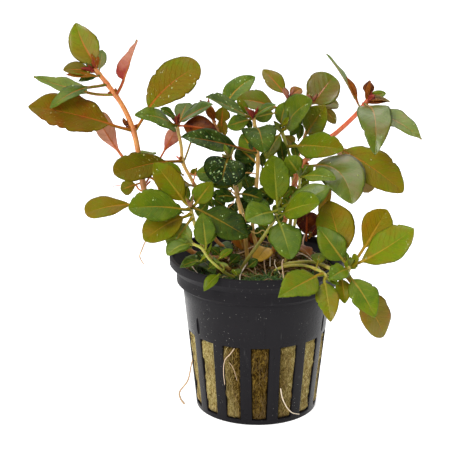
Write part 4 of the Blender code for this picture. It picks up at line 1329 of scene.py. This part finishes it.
def make_crumbs(dice):
    """Brown crumbs of leaf and bark on the rock wool."""
    bm = bmesh.new()
    look_layer = layers(bm)[1]
    for crumb in range(CRUMBS):
        x, y = on_top(dice, 23)
        wide = dice.uniform(0.25, 0.9)
        spot = Matrix.Translation((x, y, wool_height(x, y) + 0.1))
        turned = Matrix.Rotation(dice.uniform(0, 6), 4, "Z")
        turned = turned @ Matrix.Rotation(dice.uniform(-0.7, 0.7), 4, "X")
        stretch = Matrix.Diagonal((wide, wide * dice.uniform(0.3, 1), wide * dice.uniform(0.2, 0.6), 1))
        place = Matrix.Scale(MM, 4) @ spot @ turned @ stretch
        tone = dice.random()
        for vert in bmesh.ops.create_icosphere(bm, subdivisions=1, radius=1.0, matrix=place)["verts"]:
            vert.co += Vector(dice.uniform(-1, 1) for axis in range(3)) * 0.18 * wide * MM
            vert[look_layer] = (tone, 0, 0)
    finished("crumbs", bm, [CRUMB], "rock_wool")


# Roots: points, radius and tone (0 brown, 0.5 tan, 1 white)
ROOTS = (
    (((-23.2, -4.4, 0.4), (-24.6, -4, 2.4), (-24.7, -4, 4.8), (-22.1, -4.5, 8.8), (-20.9, -4.5, 14.5),
      (-20.2, -4, 16.5)), 0.34, 0.3),
    (((-7.2, -20.6, 26.2), (-8.6, -21.6, 24.6), (-10.2, -21.6, 22.6), (-10.6, -20.9, 18.6),
      (-10.2, -20.2, 13.8)), 0.16, 0.6),
    (((-8.9, -20.6, 21.5), (-7.6, -20.6, 19.5), (-6.4, -20.8, 15.5)), 0.1, 0.5),
    (((7.0, -19.6, 12.6), (7.6, -20.4, 9.6), (9.0, -20.6, 6.6), (10.8, -19.8, 4.4), (13.2, -17.8, 3.0)),
     0.2, 0.85),
    (((-2.3, -1.3, 48.6), (-4.0, -11, 49.3), (-5.5, -19, 49.2), (-5.7, -22, 48.2)), 0.22, 0.9),
    (((8.4, -2.4, 47.6), (7.9, -7, 50.2), (7.3, -13.2, 50.4), (7.6, -20.5, 47.8)), 0.28, 0.45),
    (((4.5, 4, 50.5), (4.1, -0.9, 49.8), (3.9, -6, 47.6)), 0.22, 0.95),
    (((5.5, -4.2, 49.4), (5.3, -9.3, 49.2), (6.7, -14.1, 47.8)), 0.18, 0.8),
    (((-9.3, 0, 47.6), (-7.3, 1.8, 49.0), (-4.4, 2.3, 49.8), (-0.8, 7.2, 50.3), (2, 10, 49)), 0.28, 0.25),
    (((2.4, -2, 50.5), (2.0, -8, 49.4), (2.4, -15, 47.6)), 0.25, 0.1),
    (((-1.6, 3, 49.5), (-1.2, -6, 49.2), (-0.6, -14, 47.6)), 0.2, 0.15),
    (((12.5, 4, 48), (15.5, 0, 50.2), (18.6, -5, 48.2)), 0.22, 0.3),
    (((10.5, 12, 48), (15, 8, 50.4), (20, 2, 48.0)), 0.25, 0.2),
    (((13, 2, 49.8), (16, -4, 50.0), (19.5, -9, 47.6)), 0.2, 0.7),
    (((15.2, 11.1, 47.6), (15.6, 16, 50), (17.5, 23.1, 52.0)), 0.35, 0.1),
    (((-12, 12, 47), (-6, 15, 50), (2, 13, 50.2), (8, 16, 47.5)), 0.25, 0.3),
    (((-19, -2, 47.4), (-20.5, -8, 48.6), (-17.5, -14, 47)), 0.18, 0.8),
    (((-28.6, -7, 59.6), (-33.5, -10, 58.4), (-35.8, -12, 54.4), (-36.2, -12, 52.5), (-35.0, -12, 50.2)),
     0.3, 0.3),
)


def make_roots(dice):
    """Fine roots on the rock wool and out of the slots."""
    bm = bmesh.new()
    for points, radius, tone in ROOTS:
        tube(bm, points, lambda at: radius * (1 - 0.4 * at), 8, (tone, 0, 0), 0, 8)
    for hair in range(HAIR_ROOTS):
        points = creeping(dice, on_top(dice, 22), 5, 1.5, 0.45, 23.2,
                          lambda part: 0.1 + 1.6 * math.sin(math.pi * part / 4) * dice.uniform(0.5, 1.2))
        tube(bm, points, dice.uniform(0.07, 0.15), 5, (dice.uniform(0, 0.4) ** 1.5, 0, 0), 0, 3)
    finished("fine_roots", bm, [ROOT], "rock_wool")


# Fallen and stray leaves: base, tip, width, facing, arch, stalk, looks
STRAYS = (
    ((3.6, 4.5, 50.4), (-0.4, -6.5, 49.6), 6.6, (0.1, -0.6, 1), 0.1, 0.1,
     Look(1.9, 0.4, 0.9, 0, 0.1, 0.6, 0.5, gloom=0)),
    ((-1.4, 13, 54.5), (1.2, 9.5, 50.2), 6.5, (0.2, -1, 0.4), 0.1, 0.1, Look(1.0, 0.5, 1.0, 0)),
    ((-6.5, 12, 55.5), (-4.6, 6, 49.5), 6.5, (0.1, -1, 0.5), 0.1, 0.1, Look(0.9, 0.4, 0.7, 0)),
    ((16.1, 10, 51.0), (16.1, 9, 61.4), 7.6, (0, -1, 0.2), 0.05, 0.25, Look(1.3, 1.0, 1.2, 0, 0.1, 0.9, 0.4)),
    ((-13, 11, 49.5), (-8.0, 0.5, 49.4), 5.5, (0, -0.5, 1), 0.12, 0.1, Look(0.1, 0.2, 0.1, 0)),
    ((-19.5, -3.5, 49.2), (-13.2, -18, 49.0), 6.5, (0, -0.4, 1), 0.1, 0.1, Look(0.12, 0.2, 0.1, 0)),
    ((-13.5, -9.5, 51.6), (-23.8, -17.2, 50.9), 4.6, (0.1, -0.6, 1), 0.12, 0.15, Look(0.3, 0.3, 0.2, 0, 0.5)),
    ((-8.0, -14, 48.6), (-5.6, -19, 49.4), 3.4, (0, -0.6, 1), 0.1, 0.1, Look(0.35, 0.2, 0.1, 0)),
    ((-11.6, -24.4, 51.2), (-16.4, -28.4, 47.2), 3.6, (-0.3, -1, 0.8), 0.15, 0.1, Look(0.4, 0.1, 0.1, 0)),
    ((12, 10, 49), (17.1, -2, 49.4), 5, (0.2, -0.5, 1), 0.1, 0.1, Look(0.95, 0.6, 0.9, 0)),
    ((7, 17, 49), (13, 8, 50.6), 5, (0, -0.6, 1), 0.1, 0.1, Look(0.88, 0.6, 0.9, 0)),
)

# Young leaves among the stems: base, tip, width, way that the top faces, tone, and their sheen and
# painted shade where those aren't the usual ones. The painted shade darkens them as leaves that lie
# in the shadow among the stems.
USUAL_SHEEN_AND_PAINTED_SHADE = (0.1, 0.3)
INNER_LEAVES = (
    ((-4.5, 6, 79.8), (-1.3, 6, 76.5), 4.5, (0, -1, 0.4), 0.03),
    ((-2.2, 6, 68.7), (-4.2, 5, 74.2), 3.4, (0, -1, 0.3), 0.1),
    ((-5.4, 8, 77.0), (-1.6, 8, 78.7), 3.6, (0, -0.8, 1), 0.05),
    ((1.5, 4, 65.0), (-5.4, 2, 63.3), 5, (0, -0.9, 1), 0.05),
    ((-0.7, 4, 61.7), (-4.8, 3, 59.7), 3.6, (0, -1, 0.6), 0.2),
    ((7.5, 8, 78.7), (4.7, 6, 75.2), 5, (0, -1, 0.5), 0.15),
    ((12.9, 4, 66.6), (10.3, 4, 71.2), 3, (0, -1, 0.3), 0.4),
    ((-8.6, 4, 56.8), (-3.5, 3, 54.4), 4, (0, -1, 0.6), 0.9),
    ((-10.2, 2, 68.5), (-14.2, 2, 68.5), 3.8, (0, -1, 0.5), 0.3),
    ((1.6, 6, 67.4), (6.0, 6, 69.4), 4, (0, -1, 0.5), 0.1),
    ((3.6, 6, 55.6), (0.4, 6, 58.9), 3.4, (0, -1, 0.6), 0.3),
    ((13.9, 8, 75.4), (12.3, 8, 79.3), 3, (0, -1, 0.3), 0.7),
    ((-16.4, 0, 65.8), (-18.9, 0, 62.5), 3.6, (0, -1, 0.3), 0.35),
    ((-6.1, 2, 62.3), (-9.2, 2, 65.5), 4, (0, -1, 0.6), 0.08),
    ((7.6, 4, 61.7), (5.0, 4, 64.7), 3.6, (0, -1, 0.4), 0.35),
    ((-18.9, 4, 77.0), (-20.5, 4, 74.4), 2.4, (0, -1, 0.3), 0.7),
    ((7.6, 13, 88.3), (9.3, 11, 96.6), 5.4, (-0.6, -1, 0.3), 0.3, 0.4, 0.1),
    ((7.8, 9, 89.1), (9.9, 8, 92.4), 1.8, (0, -1, 0.5), 0.45, 0, 0),
    ((14.6, 14, 91.0), (10.6, 14, 85.1), 3.2, (0, -1, 0.2), 0.2, 0.6, 0.1),
    ((-7.9, 4, 69.9), (-11.4, 3, 67.9), 3.6, (0, -1, 0.7), 0.06, 0.1, 0.2),
    ((-6.1, 4, 70.9), (-9.2, 4, 73.1), 3.0, (0, -1, 0.5), 0.05),
    ((-1.6, 5, 66.7), (-5.4, 4, 64.7), 3.6, (0, -1, 0.6), 0.1, 0.1, 0.2),
    ((2.2, 6, 64.5), (0, 6, 67.4), 3.0, (0, -1, 0.4), 0.12),
    ((3.5, 6, 67.4), (0.6, 6, 69.7), 3.2, (0, -1, 0.4), 0.18, 0.1, 0.2),
    ((8.0, 2, 67.8), (10.8, 1, 71.0), 3.2, (0, -1, 0.7), 0.32, 0.1, 0.05),
    ((10.4, 4, 64.7), (8.1, 4, 67.6), 2.8, (0, -1, 0.4), 0.25, 0.1, 0.2),
    ((5.7, -3, 64.9), (7.2, -4, 61.4), 3.0, (0, -1, 0.5), 0.15, 0.1, 0.2),
    ((14.5, 6, 70.4), (12.4, 5, 78.7), 2.2, (0.3, -1, 0.1), 0.42, 0.1, 0),
    ((14.8, 6, 69.4), (15.3, 6, 77.2), 1.8, (-0.4, -1, 0.1), 0.44, 0.1, 0),
    ((13.5, 4, 69.2), (16.2, 4, 72.8), 2.6, (0, -1, 0.7), 0.42, 0.1, 0),
    ((-16.6, -26, 60.2), (-25.1, -27, 61.1), 1.8, (0, -0.6, 1), 0.42, 0.1, 0),
    ((-16.3, -26, 60.5), (-12.2, -25, 63.9), 2.0, (0, -0.8, 0.8), 0.38, 0.2, 0),
    ((-17.6, -23, 54.7), (-14.0, -24, 60.9), 1.5, (0.5, -1, 0.1), 0.43, 0.1, 0),
    ((-12.5, -23, 55.0), (-7.8, -22, 58.1), 2.4, (-0.2, -0.8, 0.8), 0.42, 0.1, 0),
    ((-17.9, -24, 55.3), (-23.4, -26, 53.7), 2.9, (0, -0.7, 0.9), 0.3, 0.5, 0),
    ((-19.9, -24, 59.3), (-27.2, -26, 57.8), 2.4, (0, -0.8, 0.8), 0.36, 0.1, 0),
    ((-15.9, -17, 52.8), (-19.0, -15, 55.0), 2.6, (0, -1, 0.5), 0.12),
    ((-11.7, -12, 53.1), (-14.4, -12, 55.7), 3.0, (0, -1, 0.6), 0.12, 0.1, 0.2),
    ((-6.3, -22, 50.0), (-8.1, -21, 51.5), 1.4, (0, -1, 0.6), 0.36, 0.1, 0),
    ((26.7, -24, 52.2), (27.7, -25, 56.5), 3.8, (0, -1, 0.4), 0.42, 0.1, 0),
    ((30.7, 8, 53.0), (30.1, 8, 61.0), 2.2, (0, -1, 0.3), 0.2, 0.8, 0),
    ((-48.9, -4, 108.2), (-53.6, -5, 108.0), 1.7, (0, -0.5, 1), 1.06, 0.1, 0.1),
    ((-48.9, -4, 108.8), (-50.2, -4, 113.9), 1.6, (0.6, -1, 0.2), 0.95, 0.1, 0.1),
    ((-49.3, -3, 108.6), (-51.8, -4, 111.5), 2.6, (0, -1, 0.6), 0.1, 0.5, 0),
    ((-48.6, -4, 108.8), (-47.9, -4, 113.0), 1.7, (-0.5, -1, 0.2), 1.0, 0.1, 0.1),
    ((33.6, 3, 97.5), (34.4, 2, 104.8), 1.8, (-0.7, -1, 0.1), 1.12, 0.2, 0.1),
    ((32.0, 3, 97.5), (40.5, 2, 98.3), 2.2, (0.1, -0.9, 0.8), 1.12, 0.2, 0.1),
    ((30.9, 3.4, 97.4), (27.0, 4, 105.7), 2.0, (0.5, -1, 0.2), 1.12, 0.2, 0.05),
    ((5.9, 10, 93.3), (-1.0, 10, 91.7), 4.6, (0, -1, 0.3), 0.3, 0.3, 0.25),
    ((21.2, 22, 93.4), (25.9, 22, 87.4), 3.6, (0, -1, 0.3), 0.62, 0.9, 0.1),
    ((8.7, 12, 75.8), (7.3, 12, 84.6), 3.4, (0, -1, 0.2), 0.25, 0.1, 0.25),
    ((12.8, 12, 77.7), (11.5, 12, 83.6), 3.0, (0, -1, 0.3), 0.22),
    ((13.2, 14, 83.2), (14.4, 14, 88.7), 2.4, (0, -1, 0.2), 0.3, 0.2, 0.2),
    ((1.6, 8, 75.7), (1.8, 8, 81.2), 2.2, (0, -1, 0.2), 0.1),
    ((-4.8, 8, 73.5), (-1.0, 8, 76.1), 2.6, (0, -1, 0.4), 0.08),
    ((-7.4, -4, 72.6), (-14.8, -4, 73.8), 3.4, (0, -1, 0.6), 0.25, 0.1, 0.2),
    ((-22.5, 4, 65.3), (-22.1, 4, 71.2), 2.6, (0, -1, 0.3), 0.4, 0.1, 0.15),
    ((-13.6, 0, 64.8), (-15.5, 0, 68.7), 2.4, (0, -1, 0.4), 0.15),
    ((16.4, 2, 54.4), (18.9, 2, 59.0), 3.0, (0, -1, 0.2), 1.25, 0.1, 0.1),
    ((-25.0, 2, 92.3), (-30.0, 0, 96.5), 3.2, (0, -0.8, 1), 0.25, 0.4, 0.2),
    ((-13.0, 7, 90.7), (-16.1, 7, 97.1), 2.8, (0, -1, 0.2), 0.95, 0.1, 0.2),
    ((-9.8, 8, 85.7), (-11.7, 8, 92.4), 3.0, (0, -1, 0.2), 0.65),
    ((-2.6, 8, 92.4), (-6.4, 8, 98.4), 2.8, (0, -1, 0.4), 0.45),
    ((-1.7, 6, 88.7), (-3.6, 6, 92.2), 2.2, (0, -1, 0.3), 0.2),
    ((-22.6, -8, 77.3), (-28.3, -8, 81.4), 2.6, (0, -1, 0.4), 0.5, 0.1, 0.2),
    ((14.8, 2, 74.6), (17.3, 2, 78.4), 2.2, (0, -1, 0.3), 0.4, 0.1, 0.1),
    ((19.0, 4, 61.1), (23.2, 4, 70.2), 3.2, (0, -1, 0.2), 0.75, 0.1, 0.05),
    ((-47.6, -5, 107.4), (-54.1, -6, 105.8), 2.4, (0, -1, 0.8), 0.15, 0.2, 0.25),
    ((-48.0, -7, 107.4), (-57.3, -9, 108.3), 1.9, (0, -1, 0.5), 0.95, 0.1, 0.2),
    ((-39.9, -4, 91.4), (-41.1, -4, 94.4), 1.3, (0, -1, 0.2), 1.28, 0.1, 0.2),
    ((-39.3, -4, 91.4), (-39.6, -4, 94.1), 1.2, (0, -1, 0.2), 1.28, 0.1, 0.2),
    ((33.2, 3, 99.6), (39.5, 4, 100.4), 2.6, (0, -1, 0.4), 0.55, 1.0, 0),
    ((1.7, 8, 63.6), (4.8, 8, 67.6), 4.5, (0, -1, 0.3), 0.12),
    ((11.3, 8, 61.0), (8.4, 8, 64.6), 4.0, (0, -1, 0.3), 0.15),
    ((13.8, 9, 63.7), (11.2, 9, 67.6), 4.0, (0, -1, 0.2), 0.2),
    ((-3.4, 8, 62.3), (-6.6, 8, 65.9), 4.5, (0, -1, 0.4), 0.08),
    ((-9.8, 6, 63.5), (-13.6, 6, 66.1), 4.0, (0, -1, 0.5), 0.1),
    ((-4.7, 9, 70.3), (-2.2, 9, 73.2), 3.6, (0, -1, 0.3), 0.08),
    ((-0.3, 8, 69.9), (-3.2, 8, 72.8), 3.5, (0, -1, 0.3), 0.1),
    ((9.3, 9, 72.6), (11.1, 9, 75.8), 3.6, (0, -1, 0.2), 0.28, 0.1, 0.15),
    ((-5.4, 2, 56.1), (-1.6, 2, 58.4), 4.0, (0, -1, 0.5), 0.1),
    ((2.2, 2, 54.7), (-0.4, 2, 58.0), 4.0, (0, -1, 0.5), 0.12),
    ((-22.7, -9, 65.6), (-27.6, -9, 67.5), 4.0, (0, -1, 0.6), 0.25, 0.2, 0.2),
    ((-8.6, -12, 50.5), (-5.6, -12, 53.4), 3.2, (0, -1, 0.7), 0.12, 0.1, 0.2),
    ((-3.2, -16, 50.5), (-0.2, -16, 53.1), 3.0, (0, -1, 0.8), 0.1),
    ((-15.3, -19, 50.9), (-11.7, -18, 53.1), 3.0, (0, -1, 0.8), 0.2, 0.1, 0.2),
    ((-17.9, -6, 65.4), (-15.4, -6, 68.3), 3.4, (0, -1, 0.5), 0.25, 0.1, 0.2),
)

# Bare twigs: points, radius, tone of the bark
TWIGS = (
    (((-37.6, -3, 73.3), (-37.0, -3, 72.0), (-35.6, -3, 71.0)), 0.35, 0.8),
    (((-33.0, -2, 74.3), (-34.5, -3, 72.9), (-35.6, -3, 70.7)), 0.35, 0.9),
    (((-33.9, -2, 75.6), (-31.9, 0, 73.8), (-30.8, 2, 70.4), (-29, 1, 62)), 0.4, 0.7),
    (((-42.3, -3, 72.9), (-43.5, -3, 72.9), (-45.0, -4, 72.9)), 0.16, 1.0),
    (((-12.3, 2, 85.7), (-11.1, 2, 83.8), (-9.8, 2, 82.3), (-8.6, -6, 79)), 0.3, 0.4),
    (((-5.8, -2, 76.2), (-3.4, -2, 76.8), (0.1, 1, 75.6)), 0.25, 0.6),
    (((-9.8, -4, 71.9), (-7.7, -4, 71.0), (-5.2, -3, 67.2), (-3.4, -1, 60)), 0.25, 0.4),
    (((-7.7, -4, 69.7), (-7.7, -4, 67.5), (-9.2, -5, 65.8), (-8, -6, 60)), 0.2, 0.6),
    (((11.3, 6, 76.5), (12.0, 6, 72.6), (12.9, 5, 68.7), (12, 4, 60)), 0.3, 0.8),
    (((-11.1, -2, 82.2), (-9.8, -2, 80.0), (-9.8, -2, 77.8)), 0.2, 0.9),
    (((-2.4, -6, 59.3), (-0.2, -6, 58.4), (1.9, -5, 59.1), (4, -4, 54)), 0.2, 0.3),
    (((-21.7, 2, 75.9), (-20.1, 2, 75.2), (-18.3, 2, 74.6)), 0.2, 0.8),
    (((-19.2, 3, 76.0), (-19.9, 3, 73.4), (-20.2, 3, 71.1)), 0.25, 0.8),
    (((-25.5, 4, 80.8), (-24.2, 4, 79.6), (-23.3, 4, 78.9)), 0.3, 1.0),
)


def make_strays():
    """Fallen leaves on the rock wool."""
    bm = bmesh.new()
    for base, tip, width, facing, arch, stalk, look in STRAYS:
        Leaf(base, base, tip, width, facing, arch, stalk, look, 0.3).build(bm, SMALL_GRID)
    finished("fallen_leaves", bm, LEAF_SKINS, "leaf_green")


def make_twigs(dice):
    """Bare twigs and the small leaves among the stems, darkened by painted shade."""
    bm = bmesh.new()
    for points, radius, tone in TWIGS:
        tube(bm, points, lambda at: radius * (1 - 0.3 * at), 8, (tone, 0.5, 0.5), BARK)
    for base, tip, width, facing, tone, *own in INNER_LEAVES:
        sheen, gloom = own or USUAL_SHEEN_AND_PAINTED_SHADE
        look = Look(tone, min(1, 0.2 + tone * 0.8), tone, 3, sheen, fold=0.4, gloom=gloom)
        leaf = Leaf(base, base, tip, width, facing, 0.08, 0.14, look, 0.25)
        leaf.build(bm, YOUNG_GRID)
        leaf.add_dew(bm, dice)
    finished("twigs", bm, LEAF_SKINS, "stem")


def make_floor():
    """The pale floor under the pot."""
    bm = bmesh.new()
    bmesh.ops.create_grid(bm, x_segments=2, y_segments=2, size=6.0)
    floor = placed("floor", mesh_of("floor", bm, [floor_paper()]))


def make_light(name, place, size, power, colour):
    """A square soft light that faces the plant. Its place and size are in metres."""
    light = bpy.data.lights.new(name, "AREA")
    light.size = size
    light.energy = power
    light.color = colour
    lamp = placed(name, light)
    lamp.location = place
    lamp.rotation_euler = (Vector((0, 0, 0.07)) - lamp.location).to_track_quat("-Z", "Y").to_euler()


def make_studio():
    """White surroundings, darker in front, soft lights, and the camera at the photograph's angle."""
    world = bpy.data.worlds.new("studio")
    bpy.context.scene.world = world
    world.use_nodes = True
    tree = world.node_tree
    way = tree.nodes.new("ShaderNodeTexCoord").outputs["Generated"]
    split = tree.nodes.new("ShaderNodeSeparateXYZ")
    shade = tree.nodes.new("ShaderNodeMapRange")
    for name, value in zip(("From Min", "From Max", "To Min", "To Max"), (-0.5, 0.7, 0.2, 1.0)):
        shade.inputs[name].default_value = value
    tree.links.new(way, split.inputs[0])
    tree.links.new(split.outputs["Y"], shade.inputs["Value"])
    tree.links.new(shade.outputs[0], tree.nodes["Background"].inputs["Strength"])
    tree.nodes["Background"].inputs["Color"].default_value = (1, 1, 1, 1)
    make_light("sky", (0.0, 0.15, 0.8), 0.9, 6.2, (0.98, 0.99, 1.0))
    make_light("key", (-0.35, -0.75, 0.55), 0.35, 8.0, (1.0, 0.985, 0.95))
    camera = bpy.data.cameras.new("camera")
    camera.lens = CAMERA_LENS
    camera.sensor_width = 36.0
    camera.clip_start = 0.01
    shooter = placed("camera", camera)
    shooter.location = Vector(CAMERA_PLACE) * MM
    shooter.rotation_euler = (math.radians(90 - CAMERA_TILT), 0, 0)
    bpy.context.scene.camera = shooter
    bpy.context.scene.view_settings.view_transform = "Standard"


make_studio()
make_floor()
make_pot()
make_wool(random.Random(3))
make_moss(random.Random(4))
make_crumbs(random.Random(5))
make_roots(random.Random(6))
make_strays()
make_twigs(random.Random(10))
make_shoots(random.Random(8))
make_leaves(random.Random(9))
